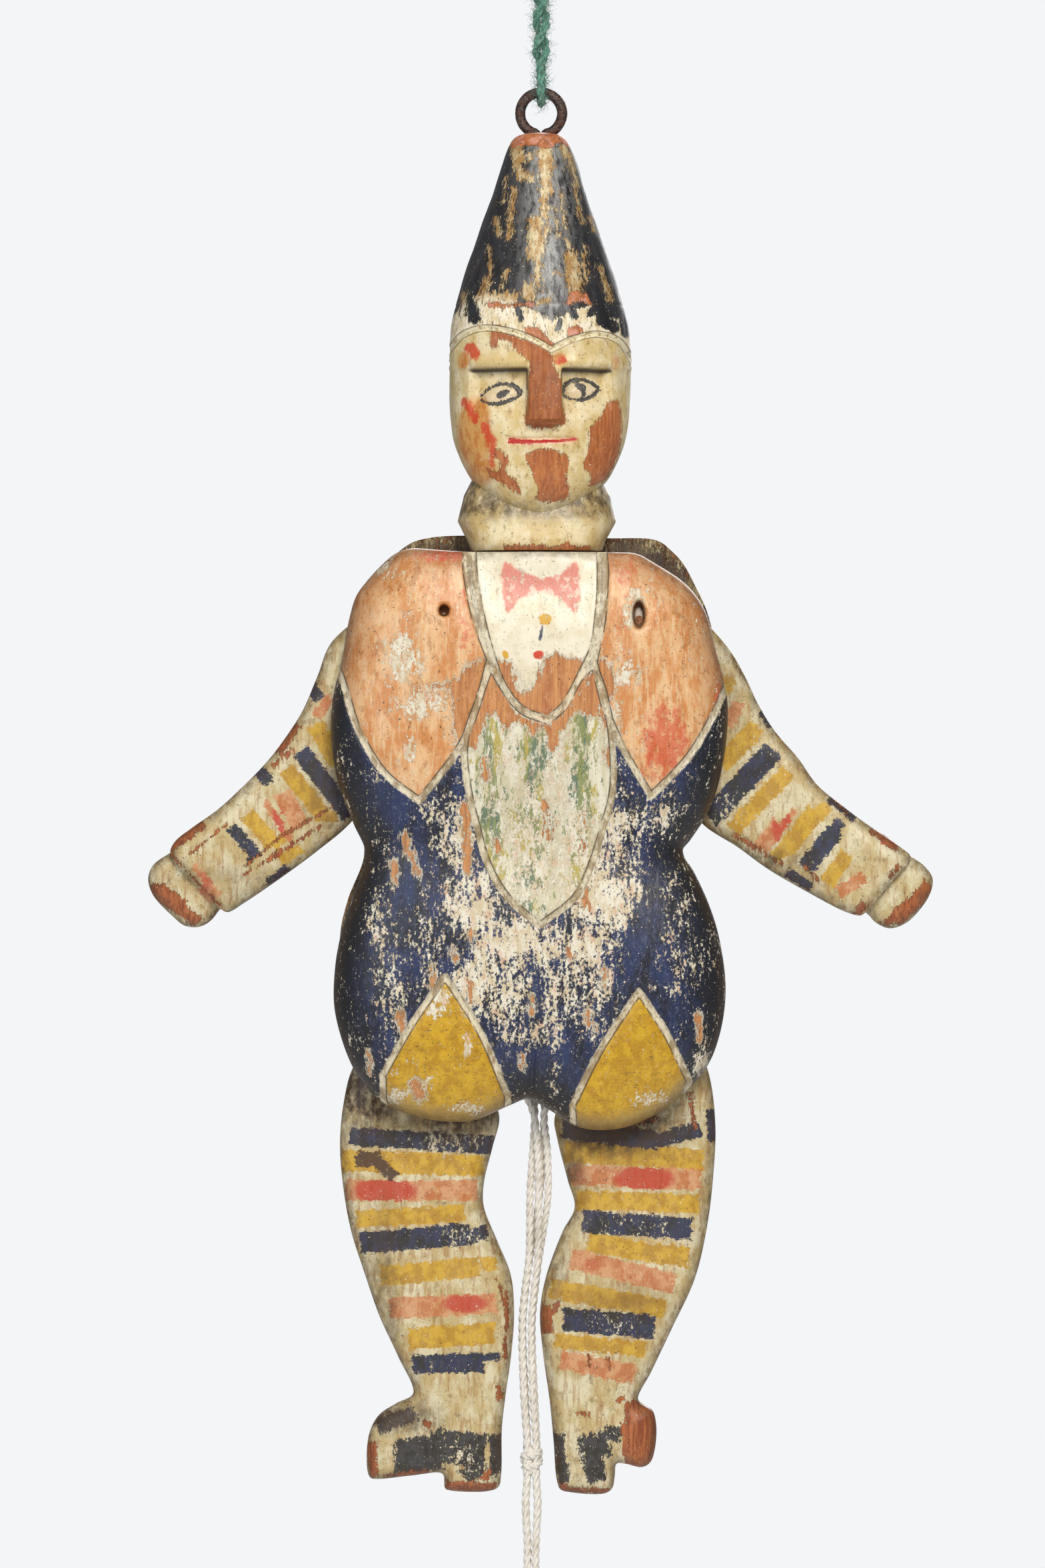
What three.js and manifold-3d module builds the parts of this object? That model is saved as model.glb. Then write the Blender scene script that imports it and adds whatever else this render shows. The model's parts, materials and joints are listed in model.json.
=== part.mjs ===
// Carved and painted wooden jumping jack: a clown whose arms and legs swing up when the strings between
// its legs are pulled. Millimetres, +Z up, front towards -Y, origin at the centre of the screw eye's ring.
// "left" and "right" are the viewer's, looking at the clown's face.
import * as THREE from 'three';
import { mergeVertices } from 'three/addons/utils/BufferGeometryUtils.js';
import Module from 'manifold-3d';

const wasm = await Module();
wasm.setup();

// Driving dimensions
const GAP = 0.3; // between neighbouring pieces
const SLOT_HALF = 6.5; // half the space between the two torso boards
const LIMB_HALF = 5.9; // half the thickness of an arm or leg where it runs in that space
const TAB_HALF = 2; // half the thickness of the thinned tab that a string pulls
const FRONT_DEPTH = 18; // thickness of the front board at its crown
const BACK_THICK = 8.5;
const HEAD_HALF_DEPTH = 21;
const PIN_RADIUS = 1.1;
const BORE_RADIUS = 1.45;
const STRING_RADIUS = 1;
const TWINE_RADIUS = 1.15;
const EYE_WIRE = 1.475;
const EYE_RADIUS = 5.425; // ring centre line
const ROUND = 24; // sides of a turned piece
// How far from the edge to the spine a carved surface's rings lie
const CROWNED_RINGS = [0, 0.06, 0.18, 0.38, 0.62, 0.86];
const ROUNDED_RINGS = [0, 0.08, 0.22, 0.5];
const FLAT_RING = [0];
const LEG_PIN_FRONT = -15; // the leg pins end inside the front board
const ARM_PIN_FRONT = -19;

const ARMS = {
  left: { side: -1, pivot: new THREE.Vector2(-25.3, -130.9), reach: 9, rise: 35, hole: 2.1, end: 4.2 },
  right: { side: 1, pivot: new THREE.Vector2(25.4, -133.2), reach: 9, rise: 35, hole: 2.1, end: 4.2 },
};
const LEGS = {
  left: { side: -1, pivot: new THREE.Vector2(-26.8, -247.8), reach: 14.2, rise: 22.5, hole: 1.9, end: 4.1 },
  right: { side: 1, pivot: new THREE.Vector2(24.8, -242.7), reach: 14.2, rise: 22.5, hole: 1.9, end: 4.1 },
};

const paint = (color, roughness = 0.55) =>
  new THREE.MeshStandardMaterial({ color, roughness, metalness: 0 });
const materials = {
  head: paint(0xdcc795),
  front: paint(0x39415c),
  back: paint(0x6d6151, 0.7),
  arm: paint(0xd3bf8d),
  leg: paint(0xcfb67c),
  wood: paint(0x9a5a34, 0.75),
  string: paint(0xe9e2d6, 0.9),
  twine: paint(0x4f8a75, 0.95),
  iron: new THREE.MeshStandardMaterial({ color: 0x4a3f38, roughness: 0.6, metalness: 0.8 }),
};

const group = new THREE.Group();

function addMesh(name, geometry, material) {
  const mesh = new THREE.Mesh(geometry, material);
  mesh.name = name;
  group.add(mesh);
}

// Booleans

function toSolid(geometry) {
  const bare = geometry.clone();
  bare.deleteAttribute('normal');
  bare.deleteAttribute('uv');
  const merged = mergeVertices(bare, 1e-4);
  return new wasm.Manifold(
    new wasm.Mesh({
      numProp: 3,
      vertProperties: new Float32Array(merged.attributes.position.array),
      triVerts: new Uint32Array(merged.index.array),
    }),
  );
}

function toGeometry(solid) {
  const mesh = solid.getMesh();
  const geometry = new THREE.BufferGeometry();
  geometry.setAttribute('position', new THREE.BufferAttribute(mesh.vertProperties, 3));
  geometry.setIndex(new THREE.BufferAttribute(mesh.triVerts, 1));
  geometry.computeVertexNormals();
  return geometry;
}

const join = (...shapes) => toGeometry(shapes.map(toSolid).reduce((a, b) => a.add(b)));

const cut = (shape, ...tools) =>
  toGeometry(tools.map(toSolid).reduce((a, b) => a.subtract(b), toSolid(shape)));

// A round bar or bore along Y between two depths
function barAlongY(radius, centre, yFrom, yTo, sides = ROUND) {
  const bar = new THREE.CylinderGeometry(radius, radius, yTo - yFrom, sides);
  bar.translate(centre.x, (yFrom + yTo) / 2, centre.y);
  return bar;
}

function block(xFrom, xTo, yFrom, yTo, zFrom, zTo) {
  const box = new THREE.BoxGeometry(xTo - xFrom, yTo - yFrom, zTo - zFrom);
  box.translate((xFrom + xTo) / 2, (yFrom + yTo) / 2, (zFrom + zTo) / 2);
  return box;
}

// Outlines are drawn in the XZ plane: a point's second number is its height.

// A closed smooth outline through hand-set points, sampled evenly and turned anticlockwise
function smoothOutline(points, samples) {
  const curve = new THREE.CatmullRomCurve3(
    points.map(([x, z]) => new THREE.Vector3(x, z, 0)),
    true,
    'centripetal',
  );
  const outline = curve.getSpacedPoints(samples).slice(0, samples);
  const flat = outline.map((p) => new THREE.Vector2(p.x, p.y));
  return THREE.ShapeUtils.isClockWise(flat) ? flat.reverse() : flat;
}

function nearestOnPath(p, path) {
  let best = path[0];
  for (let i = 0; i + 1 < path.length; i++) {
    const along = path[i + 1].clone().sub(path[i]);
    const share = p.clone().sub(path[i]).dot(along) / along.lengthSq();
    const foot = path[i].clone().addScaledVector(along, THREE.MathUtils.clamp(share, 0, 1));
    if (foot.distanceTo(p) < best.distanceTo(p)) best = foot;
  }
  return best;
}

// Closed surface through rings of equal point count. flatten turns a ring's point into the plane that
// its two ends are filled in.
function skin(rings, flatten) {
  const count = rings[0].length;
  const index = [];
  for (let r = 0; r + 1 < rings.length; r++) {
    for (let i = 0; i < count; i++) {
      const j = (i + 1) % count;
      const near = r * count;
      const far = near + count;
      index.push(near + i, near + j, far + j, near + i, far + j, far + i);
    }
  }
  const fill = (ring) => THREE.ShapeUtils.triangulateShape(ring.map(flatten), []);
  const last = (rings.length - 1) * count;
  for (const [a, b, c] of fill(rings[0])) index.push(a, c, b);
  for (const [a, b, c] of fill(rings[rings.length - 1])) index.push(last + a, last + b, last + c);
  const geometry = new THREE.BufferGeometry();
  const positions = rings.flat().flatMap((p) => [p.x, p.y, p.z]);
  geometry.setAttribute('position', new THREE.Float32BufferAttribute(positions, 3));
  geometry.setIndex(index);
  geometry.computeVertexNormals();
  return geometry;
}

// A piece sawn to an outline and carved: each surface is drawn on rings that run from the edge towards
// the nearest spine. frontAt and backAt give a surface's Y from a point and its distance to the edge.
function carve(outline, spines, frontAt, backAt, frontShares = ROUNDED_RINGS, backShares = ROUNDED_RINGS) {
  const paths = spines.map((path) => path.map(([x, z]) => new THREE.Vector2(x, z)));
  const closed = [...outline, outline[0]];
  const inward = outline.map((p) => {
    const nearest = paths.map((path) => nearestOnPath(p, path));
    return nearest.reduce((a, b) => (a.distanceTo(p) < b.distanceTo(p) ? a : b));
  });
  const ring = (share, heightAt) =>
    outline.map((p, i) => {
      const q = p.clone().lerp(inward[i], share);
      return new THREE.Vector3(q.x, heightAt(q, q.distanceTo(nearestOnPath(q, closed))), q.y);
    });
  const rings = [
    ...[...backShares].reverse().map((share) => ring(share, backAt)),
    ...frontShares.map((share) => ring(share, frontAt)),
  ];
  return skin(rings, (p) => new THREE.Vector2(p.x, p.z));
}

// Rounding of an edge: 0 at the edge, rising to 1 at the given distance from it
function quarterRound(distance, radius) {
  const short = 1 - Math.min(distance / radius, 1);
  return Math.sqrt(1 - short * short);
}

const bump = (value, centre, width) => Math.exp(-(((value - centre) / width) ** 2));

// Torso: a crowned front board and a flat back board, held apart by the neck's tongue and two spacers

const FRONT_OUTLINE = [
  [-32.6, -114.4], [-20, -115.3], [0, -115.4], [18, -115.5], [26.5, -116.2], [37.8, -123.9],
  [42.7, -131.3], [48.7, -155], [47.4, -170], [44.1, -182.4], [36.9, -193.5], [39.7, -198.5],
  [46.5, -216.2], [48.3, -230], [46.5, -242], [43, -250.3], [34.9, -258.8], [22, -265.7],
  [14.5, -266.5], [9, -265.3], [2.2, -261.2], [-3.6, -258.1], [-8.8, -260.2], [-17.5, -263.9],
  [-25.7, -264.1], [-33.9, -262.5], [-41.4, -259.2], [-50.2, -248], [-54, -235], [-54, -224],
  [-49.5, -206], [-45.9, -194.4], [-49, -186.5], [-52.7, -177], [-55, -165], [-54.6, -154],
  [-52, -145], [-48.8, -127], [-42.2, -118.7],
];
const BACK_OUTLINE = [
  [-29.9, -111.3], [-24.2, -110.6], [0, -110.9], [17.5, -111.3], [30.5, -111.8], [34.5, -114.8],
  [40.6, -123.9], [44, -131.6], [47.5, -155], [46.3, -170], [42.8, -182.4], [37.3, -193],
  [42, -205], [46, -218], [46.8, -232], [44.5, -243], [38, -253], [26, -261],
  [12, -263], [3, -258.5], [-3, -254.5], [-10, -258], [-26, -261.5], [-39, -257.5],
  [-48.5, -247], [-52.7, -233], [-52.9, -214.7], [-50.8, -206.2], [-46.6, -194.4], [-48, -186.5],
  [-51.5, -177], [-53.5, -165], [-52.8, -150], [-47, -128], [-38.3, -116],
];
const TORSO_SPINES = [
  [[-24, -134], [18, -134]],
  [[-3, -134], [-3, -226]],
  [[-3, -226], [-26, -239]],
  [[-3, -226], [22, -241]],
];
const EDGE_WALL = 5; // thickness of the front board at its rounded edge
const NECK_WALL = 13; // and at its top, where the neck stands
const CROWN_WIDTH = 25; // from the edge to the crown

function frontBoardSurface(p, distance) {
  const underNeck = bump(p.x, -1, 24) * THREE.MathUtils.smoothstep(p.y, -128, -116);
  const wall = THREE.MathUtils.lerp(EDGE_WALL, NECK_WALL, underNeck);
  const crown = FRONT_DEPTH - 2.5 * bump(p.y, -192, 16);
  return -SLOT_HALF - wall - (crown - wall) * quarterRound(distance, CROWN_WIDTH);
}

function buildBoards() {
  const armBores = Object.values(ARMS).map((limb) => barAlongY(BORE_RADIUS, limb.pivot, -40, 0));
  const legBoreFront = LEG_PIN_FRONT - GAP;
  const legBores = Object.values(LEGS).map((limb) => barAlongY(BORE_RADIUS, limb.pivot, legBoreFront, 0));
  const frontOutline = smoothOutline(FRONT_OUTLINE, 92);
  const slotFace = (sign) => () => sign * SLOT_HALF;
  const rings = [CROWNED_RINGS, FLAT_RING];
  const front = carve(frontOutline, TORSO_SPINES, frontBoardSurface, slotFace(-1), ...rings);
  addMesh('front_board', cut(front, ...armBores, ...legBores), materials.front);

  const rear = SLOT_HALF + BACK_THICK;
  const backSurface = (p, distance) => rear - 2 + 2 * quarterRound(distance, 2);
  const backOutline = smoothOutline(BACK_OUTLINE, 76);
  const back = carve(backOutline, TORSO_SPINES, slotFace(1), backSurface, FLAT_RING, [0, 0.03, 0.1]);
  const rearBores = [...Object.values(ARMS), ...Object.values(LEGS)].map((limb) =>
    barAlongY(BORE_RADIUS, limb.pivot, 0, 40),
  );
  addMesh('back_board', cut(back, ...rearBores), materials.back);
}

// The spacers also stop the arms at rest: their outer upper edges lie along the arms' inner edges.
function buildSpacers() {
  const corners = {
    left: [[-46.6, -183.9], [-41.6, -176.9], [-35, -184], [-35, -197], [-43.3, -196]],
    right: [[38.6, -183.8], [34.4, -177.1], [27, -184], [27, -197], [34.3, -195.5]],
  };
  for (const [side, points] of Object.entries(corners)) {
    addMesh(`waist_spacer_${side}`, plate(polygon(points), SLOT_HALF - GAP), materials.wood);
  }
}

function polygon(points) {
  return new THREE.Shape(points.map(([x, z]) => new THREE.Vector2(x, z)));
}

// A flat piece of the given shape, drawn in XZ, centred on Y = 0
function plate(shape, half, curveSegments = 12) {
  const options = { depth: 2 * half, bevelEnabled: false, curveSegments };
  const geometry = new THREE.ExtrudeGeometry(shape, options);
  geometry.rotateX(Math.PI / 2);
  geometry.translate(0, half, 0);
  return geometry;
}

// Head: hat, face, neck and tongue are one block of wood

// Height, half width, and how far the block reaches forward and back
const HEAD_SECTIONS = [
  [-106.5, 2.4, 12, -4], [-105.6, 5.2, 14, 1], [-102.7, 10.7, 16.6, 6], [-99.4, 14.9, 18, 10.5],
  [-95, 18.7, 19.2, 15], [-88, 21.9, 19.8, 18.6], [-81.9, 23.3, 19.9, 19.8], [-75, 23.8, 19.7, 20.3],
  [-68.2, 23.8, 19.5, 20.5], [-67.2, 23.8, 21.2, 20.5], [-62, 23.7, 21, 20.5], [-56, 23.2, 20.8, 20.3],
  [-49.2, 21.7, 20, 19.6], [-42.5, 19.7, 18.4, 18.2], [-34, 16.8, 16.1, 16.1], [-23.4, 13, 12.7, 12.7],
  [-11.6, 9.3, 9.2, 9.2], [-8.2, 7.8, 7.7, 7.7], [-6.6, 6.7, 6.6, 6.6], [-5.8, 5.2, 5.1, 5.1],
];
const NECK_SECTIONS = [
  [-115, 17.1, 16.4, 14], [-112.3, 18, 16.4, 14], [-107.2, 20.7, 15.5, 13.6],
  [-100.3, 19.1, 13, 12.5], [-90.4, 14, 10, 11],
];
const HEAD_AXIS = -0.4;
const NECK_AXIS = -1.1;
const BACK_TOP = -110.6; // top of the back board behind the neck
const TONGUE_HALF = 8.5;
const TONGUE_END = -138;

function sectionRing([z, halfWidth, forward, back], axis, roundness, sides) {
  const squash = (value) => Math.sign(value) * Math.abs(value) ** (2 / roundness);
  return Array.from({ length: sides }, (_, i) => {
    const angle = (2 * Math.PI * i) / sides;
    const side = squash(Math.sin(angle));
    const y = side < 0 ? side * forward : side * back;
    return new THREE.Vector3(axis + halfWidth * squash(Math.cos(angle)), y, z);
  });
}

function loft(sections, axis, roundnessAt, sides) {
  const rings = sections.map((section) => sectionRing(section, axis, roundnessAt(section[0]), sides));
  return skin(rings, (p) => new THREE.Vector2(p.x, p.y));
}

function buildHead() {
  const faceRoundness = (z) => THREE.MathUtils.lerp(2.5, 2.05, THREE.MathUtils.smoothstep(z, -66, -40));
  const hatAndFace = loft(HEAD_SECTIONS, HEAD_AXIS, faceRoundness, 32);
  const neck = loft(NECK_SECTIONS, NECK_AXIS, () => 3, 28);
  const tongue = block(-TONGUE_HALF, TONGUE_HALF, -SLOT_HALF + GAP, SLOT_HALF - GAP, TONGUE_END, -112);
  const whole = join(hatAndFace, neck, tongue, noseWedge());
  const rebate = block(-40, 40, SLOT_HALF - GAP, 40, -130, BACK_TOP + GAP + 0.2);
  const bore = new THREE.CylinderGeometry(SHANK_RADIUS + GAP, SHANK_RADIUS + GAP, 30, ROUND);
  bore.rotateX(Math.PI / 2);
  bore.translate(0, 0, SHANK_END - GAP + 15);
  const seatHalf = EYE_WIRE + GAP + 0.1;
  const seatFloor = -EYE_RADIUS - EYE_WIRE - GAP;
  const seat = block(-4.8, 4.8, -seatHalf, seatHalf, seatFloor, 5);
  addMesh('head', cut(whole, rebate, bore, seat), materials.head);
}

// The nose runs straight down from the brow and juts out to its square tip.
const BROW = -67;
const NOSE_END = -81.3;
const NOSE_WIDTH = { brow: 8.2, end: 9 };

function noseWedge() {
  const side = new THREE.Shape([
    new THREE.Vector2(15, BROW), new THREE.Vector2(21.2, BROW), new THREE.Vector2(25, NOSE_END + 1.8),
    new THREE.Vector2(24.6, NOSE_END), new THREE.Vector2(15, NOSE_END),
  ]);
  const wedge = new THREE.ExtrudeGeometry(side, { depth: 1, bevelEnabled: false });
  const positions = wedge.attributes.position;
  for (let i = 0; i < positions.count; i++) {
    const [forward, z, across] = [positions.getX(i), positions.getY(i), positions.getZ(i) - 0.5];
    const width = THREE.MathUtils.mapLinear(z, NOSE_END, BROW, NOSE_WIDTH.end, NOSE_WIDTH.brow);
    positions.setXYZ(i, 1 - across * width, -forward, z);
  }
  return wedge;
}

// Screw eye
const SHANK_RADIUS = 1.4;
const SHANK_END = -25;

function buildScrewEye() {
  const ring = new THREE.TorusGeometry(EYE_RADIUS, EYE_WIRE, 10, 32);
  ring.rotateX(Math.PI / 2);
  const shankTop = -EYE_RADIUS - 0.5;
  const profile = [[0, SHANK_END], [SHANK_RADIUS, SHANK_END + 5], [SHANK_RADIUS, shankTop], [0, shankTop]];
  const shank = new THREE.LatheGeometry(profile.map(([r, z]) => new THREE.Vector2(r, z)), 16);
  shank.rotateX(Math.PI / 2);
  addMesh('screw_eye', join(ring, shank), materials.iron);
}

// Arms and legs. Each has a thinned tab beside its pivot, with the hole that its string is tied through.

const LIMB_OUTLINES = {
  arm_left: [
    [-27.5, -124.4], [-33, -125], [-42, -129], [-54.8, -138.8], [-62.5, -156.8], [-71.8, -170.1],
    [-85, -182.9], [-95.6, -191], [-97.2, -194], [-90, -202.2], [-83, -209.2], [-80.8, -209.2],
    [-68, -200.4], [-50, -186], [-40, -172], [-31, -155], [-23.5, -139], [-20.2, -133], [-20.3, -129.5],
    [-23, -126],
  ],
  arm_right: [
    [27.6, -126.7], [33, -127.3], [40, -130.8], [49, -140.2], [56.9, -155.2], [67.2, -169],
    [80, -182.4], [94.8, -192.8], [96.8, -195.6], [91, -202.5], [84.2, -210.2], [81.6, -210.6],
    [69.8, -204.4], [51.8, -192.7], [41.8, -186], [33, -172], [27, -157], [21.8, -141], [20.3, -135.3],
    [20.4, -131.8], [23.1, -128.3],
  ],
  leg_left: [
    [-27, -238.5], [-36, -239.6], [-44, -243.6], [-49.5, -250.3], [-52.8, -266], [-51.8, -282.8],
    [-46.9, -302.6], [-37.5, -326], [-33.8, -336], [-39, -339.6], [-44.8, -345], [-45.6, -356],
    [-43.4, -358.4], [-34, -357.6], [-26.4, -357], [-24.4, -361], [-14, -361.6], [-10.7, -359],
    [-10.2, -345], [-7.9, -326], [-7, -314.7], [-8.2, -304.9], [-15.1, -286.7], [-14.8, -279],
    [-11, -263.2], [-13.5, -257.6], [-18, -251.5], [-18.6, -245], [-22, -240],
  ],
  leg_right: [
    [25, -233.4], [17.5, -236.6], [16, -241.5], [14, -249.5], [6.4, -257.5], [3.4, -263.9],
    [5.6, -275.5], [8.8, -287.2], [3.8, -299], [-0.4, -314.8], [0.4, -324.6], [2.1, -337.6],
    [4, -358.8], [7.6, -361.9], [17, -362.2], [19.4, -358.4], [20, -354.3], [26.4, -355.2],
    [29.8, -351.2], [30.2, -344], [28.6, -340], [25.6, -337], [29, -329.9], [34.4, -318.5],
    [40.4, -305.7], [43.5, -292.8], [45.4, -278], [45.8, -263.9], [43.5, -250.3], [38, -240], [32, -234.8],
  ],
};
const LIMB_SPINES = {
  arm_left: [[-27, -131], [-42, -152], [-62, -178], [-86, -198]],
  arm_right: [[27, -133.5], [41, -154], [62, -180], [86, -199]],
  leg_left: [[-28, -248], [-32, -268], [-32, -284], [-25, -306], [-21, -330], [-20, -352]],
  leg_right: [[25, -243], [25, -268], [25, -284], [19, -306], [13, -330], [12, -352]],
};
const HAND_OUTLINES = {
  left: [[-90, -188], [-101.6, -197], [-103.3, -200.9], [-101.8, -205.6], [-94.6, -213],
    [-90, -213.6], [-84.6, -209.4], [-76, -200]],
  right: [[88, -188.5], [100.6, -197.2], [102.9, -200.9], [101.9, -205.6], [95.2, -213],
    [90.8, -214], [86.6, -211], [77, -201]],
};
const HAND_HALF = 4.4;
const CALF_SWELL = 1.4; // the calves stand proud of the sawn thickness, outside the torso's slot

// A capsule from the pivot to the string hole
function tabShape(limb, centre) {
  const along = Math.atan2(centre.y - limb.pivot.y, centre.x - limb.pivot.x);
  const shape = new THREE.Shape();
  shape.absarc(centre.x, centre.y, limb.end, along - Math.PI / 2, along + Math.PI / 2, false);
  shape.absarc(limb.pivot.x, limb.pivot.y, limb.end, along + Math.PI / 2, along + (3 * Math.PI) / 2, false);
  return shape;
}

function holeCentre(limb) {
  const rise = THREE.MathUtils.degToRad(limb.rise);
  const inwards = -limb.side * limb.reach * Math.cos(rise);
  return limb.pivot.clone().add(new THREE.Vector2(inwards, limb.reach * Math.sin(rise)));
}

function limbBlank(name, samples, edgeRound, swellAt) {
  const surface = (sign) => (p, distance) => {
    const half = LIMB_HALF + swellAt(p);
    return sign * (half - edgeRound + edgeRound * quarterRound(distance, edgeRound * 1.6));
  };
  return carve(smoothOutline(LIMB_OUTLINES[name], samples), [LIMB_SPINES[name]], surface(-1), surface(1));
}

function addLimb(name, limb, blank) {
  const centre = holeCentre(limb);
  const tab = plate(tabShape(limb, centre), TAB_HALF);
  const bores = [barAlongY(BORE_RADIUS, limb.pivot, -20, 20), barAlongY(limb.hole, centre, -20, 20)];
  const material = name.startsWith('arm') ? materials.arm : materials.leg;
  addMesh(name, cut(join(...blank, tab), ...bores), material);
}

function buildLimbs() {
  for (const [side, limb] of Object.entries(ARMS)) {
    const sleeve = limbBlank(`arm_${side}`, 46, 3, () => 0);
    const handRise = (distance) => HAND_HALF - 2.5 + 2.5 * quarterRound(distance, 4);
    const handSurface = (sign) => (p, distance) => sign * handRise(distance);
    const handSpine = [[[limb.side * 84, -197], [limb.side * 96, -205]]];
    const outline = smoothOutline(HAND_OUTLINES[side], 22);
    const hand = carve(outline, handSpine, handSurface(-1), handSurface(1));
    addLimb(`arm_${side}`, limb, [sleeve, hand]);
  }
  for (const [side, limb] of Object.entries(LEGS)) {
    const swell = (p) => CALF_SWELL * bump(p.y, -315, 15) * (p.y < -286 ? 1 : 0);
    addLimb(`leg_${side}`, limb, [limbBlank(`leg_${side}`, 66, 3.6, swell)]);
  }
}

// Iron wire pins, pushed in from the back through both boards
function buildPins() {
  const pinEnd = SLOT_HALF + BACK_THICK - 1.5;
  for (const [kind, limbs, front] of [['arm', ARMS, ARM_PIN_FRONT], ['leg', LEGS, LEG_PIN_FRONT]]) {
    for (const [side, limb] of Object.entries(limbs)) {
      addMesh(`${kind}_pin_${side}`, barAlongY(PIN_RADIUS, limb.pivot, front, pinEnd, 12), materials.iron);
    }
  }
}

// Strings. Each limb has its own, stopped by a knot beside its tab; the arms' run behind and the legs'
// in front. All of them meet in the pull knot, and end in the end knot.

const PULL_KNOT = { x: -2.5, top: -348.6, bottom: -357.9, radius: 3.2 };
const END_KNOT = { x: -2.7, top: -390, bottom: -398.5, radius: 3.3 };
const TASSEL_END = -406;
const STRING_STEP = 5;
const KNOT_RADIUS = 2.3;
const KNOT_DEPTH = 1.6;
const STOPPER_DEPTH = 4.1; // how far a stopper knot's centre lies from the middle of its tab

// Places where a string runs, from its tab down to the pull knot: x, y, z
const STRING_ROUTES = {
  arm_left: [
    [-17.1, 3.7, -129.2], [-15.4, 3.7, -142], [-12, 3.7, -168], [-8.6, 3.7, -196], [-5, 3.6, -226],
    [-2.6, 2.6, -246], [-1.7, 1.4, -262], [-2.9, 0.4, -283], [-3.2, -1, -300], [-4.3, -1.1, -309],
    [-5, -1.2, -318], [-4.6, -1.2, -336], [-3.8, -1.2, -348.2],
  ],
  arm_right: [
    [17.2, 3.7, -131.5], [15.6, 3.7, -144], [12.2, 3.7, -170], [8.4, 3.7, -198], [4.2, 3.6, -228],
    [1.6, 2.8, -246], [0.8, 1.5, -262], [-0.3, 1.6, -283], [-2.9, 1.5, -300], [-4.1, 1.4, -309],
    [-4.8, 1.3, -318], [-4.2, 1.3, -336], [-3.6, 1.2, -348.2],
  ],
  leg_left: [
    [-13.1, -3.7, -245.8], [-9.4, -3.6, -250], [-5, -2.7, -256], [-2, -1.4, -262.5], [-1, -1.4, -272],
    [-0.8, -1.5, -283], [-0.9, -1.5, -300], [-1.9, -1.4, -309], [-2.6, -1.2, -318], [-2.2, -1.2, -336],
    [-1.4, -1.2, -348.2],
  ],
  leg_right: [
    [11.15, -3.7, -240.8], [8, -3.6, -246], [4, -2.7, -253.5], [0.9, -1.5, -262], [1.6, -1.3, -272],
    [1.8, -1, -283], [0.9, 0.4, -291], [-0.5, 1.2, -300], [-1.6, 1.3, -309], [-2.4, 1.3, -318],
    [-1.8, 1.3, -336], [-1.2, 1.2, -348.2],
  ],
};
const BUNDLE = {
  arm_left: [-1.3, -1.2],
  arm_right: [-1.1, 1.2],
  leg_left: [1.1, -1.2],
  leg_right: [1.3, 1.2],
};

// A round cord: an eight-sided section along a smooth route
function cordAlong(points, radius, step) {
  const places = points.map((p) => new THREE.Vector3(...p));
  const route = new THREE.CatmullRomCurve3(places, false, 'centripetal');
  const section = new THREE.Shape();
  section.absarc(0, 0, radius, 0, 2 * Math.PI, false);
  return new THREE.ExtrudeGeometry(section, {
    steps: Math.max(2, Math.round(route.getLength() / step)),
    curveSegments: 4,
    bevelEnabled: false,
    extrudePath: route,
  });
}

// A knot turned about a vertical axis, flat where the cords meet it
function turnedKnot(knot, flare = 0.75) {
  const height = knot.top - knot.bottom;
  const profile = [[0, knot.bottom]];
  for (let i = 0; i <= 6; i++) {
    const share = i / 6;
    const swell = flare + (1 - flare) * Math.sin(Math.PI * share);
    profile.push([knot.radius * swell, knot.bottom + height * share]);
  }
  profile.push([0, knot.top]);
  const geometry = new THREE.LatheGeometry(profile.map(([r, z]) => new THREE.Vector2(r, z)), 14);
  geometry.rotateX(Math.PI / 2);
  geometry.translate(knot.x, 0, 0);
  return geometry;
}

// The stopper knot and the short bend of string that passes through the tab's hole
function stopperKnot(limb, behind, routeStart) {
  const hole = holeCentre(limb);
  const x = routeStart[0];
  const knot = new THREE.SphereGeometry(1, 10, 6);
  knot.scale(KNOT_RADIUS, KNOT_DEPTH, KNOT_RADIUS);
  knot.translate(x, -behind * STOPPER_DEPTH, hole.y);
  const bend = cordAlong(
    [
      [x, -behind * STOPPER_DEPTH, hole.y], [x, 0, hole.y], [x, behind * 2.4, hole.y - 0.2],
      [x, behind * 3.5, hole.y - 1.4], [x, behind * 3.7, routeStart[2] + GAP],
    ],
    STRING_RADIUS,
    1.3,
  );
  return join(knot, bend);
}

function buildStrings() {
  for (const [name, route] of Object.entries(STRING_ROUTES)) {
    const [kind, side] = name.split('_');
    const limb = (kind === 'arm' ? ARMS : LEGS)[side];
    const behind = kind === 'arm' ? 1 : -1;
    addMesh(`${kind}_knot_${side}`, stopperKnot(limb, behind, route[0]), materials.string);
    const straight = [route[0], [route[0][0], route[0][1], route[0][2] - 1], ...route.slice(1)];
    addMesh(`${kind}_string_${side}`, cordAlong(straight, STRING_RADIUS, STRING_STEP), materials.string);
    const [across, depth] = BUNDLE[name];
    const tail = [
      [PULL_KNOT.x + across, depth, PULL_KNOT.bottom - GAP],
      [PULL_KNOT.x + across, depth, -372],
      [END_KNOT.x + across, depth, END_KNOT.top + GAP],
    ];
    addMesh(`${kind}_string_tail_${side}`, cordAlong(tail, STRING_RADIUS, STRING_STEP), materials.string);
  }
  addMesh('pull_knot', turnedKnot(PULL_KNOT), materials.string);
  const tassel = new THREE.CylinderGeometry(2.6, 3.2, END_KNOT.bottom - TASSEL_END + 1, 12);
  tassel.rotateX(Math.PI / 2);
  tassel.translate(END_KNOT.x, 0, (END_KNOT.bottom + 1 + TASSEL_END) / 2);
  addMesh('end_knot', join(turnedKnot(END_KNOT), tassel), materials.string);
}

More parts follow.
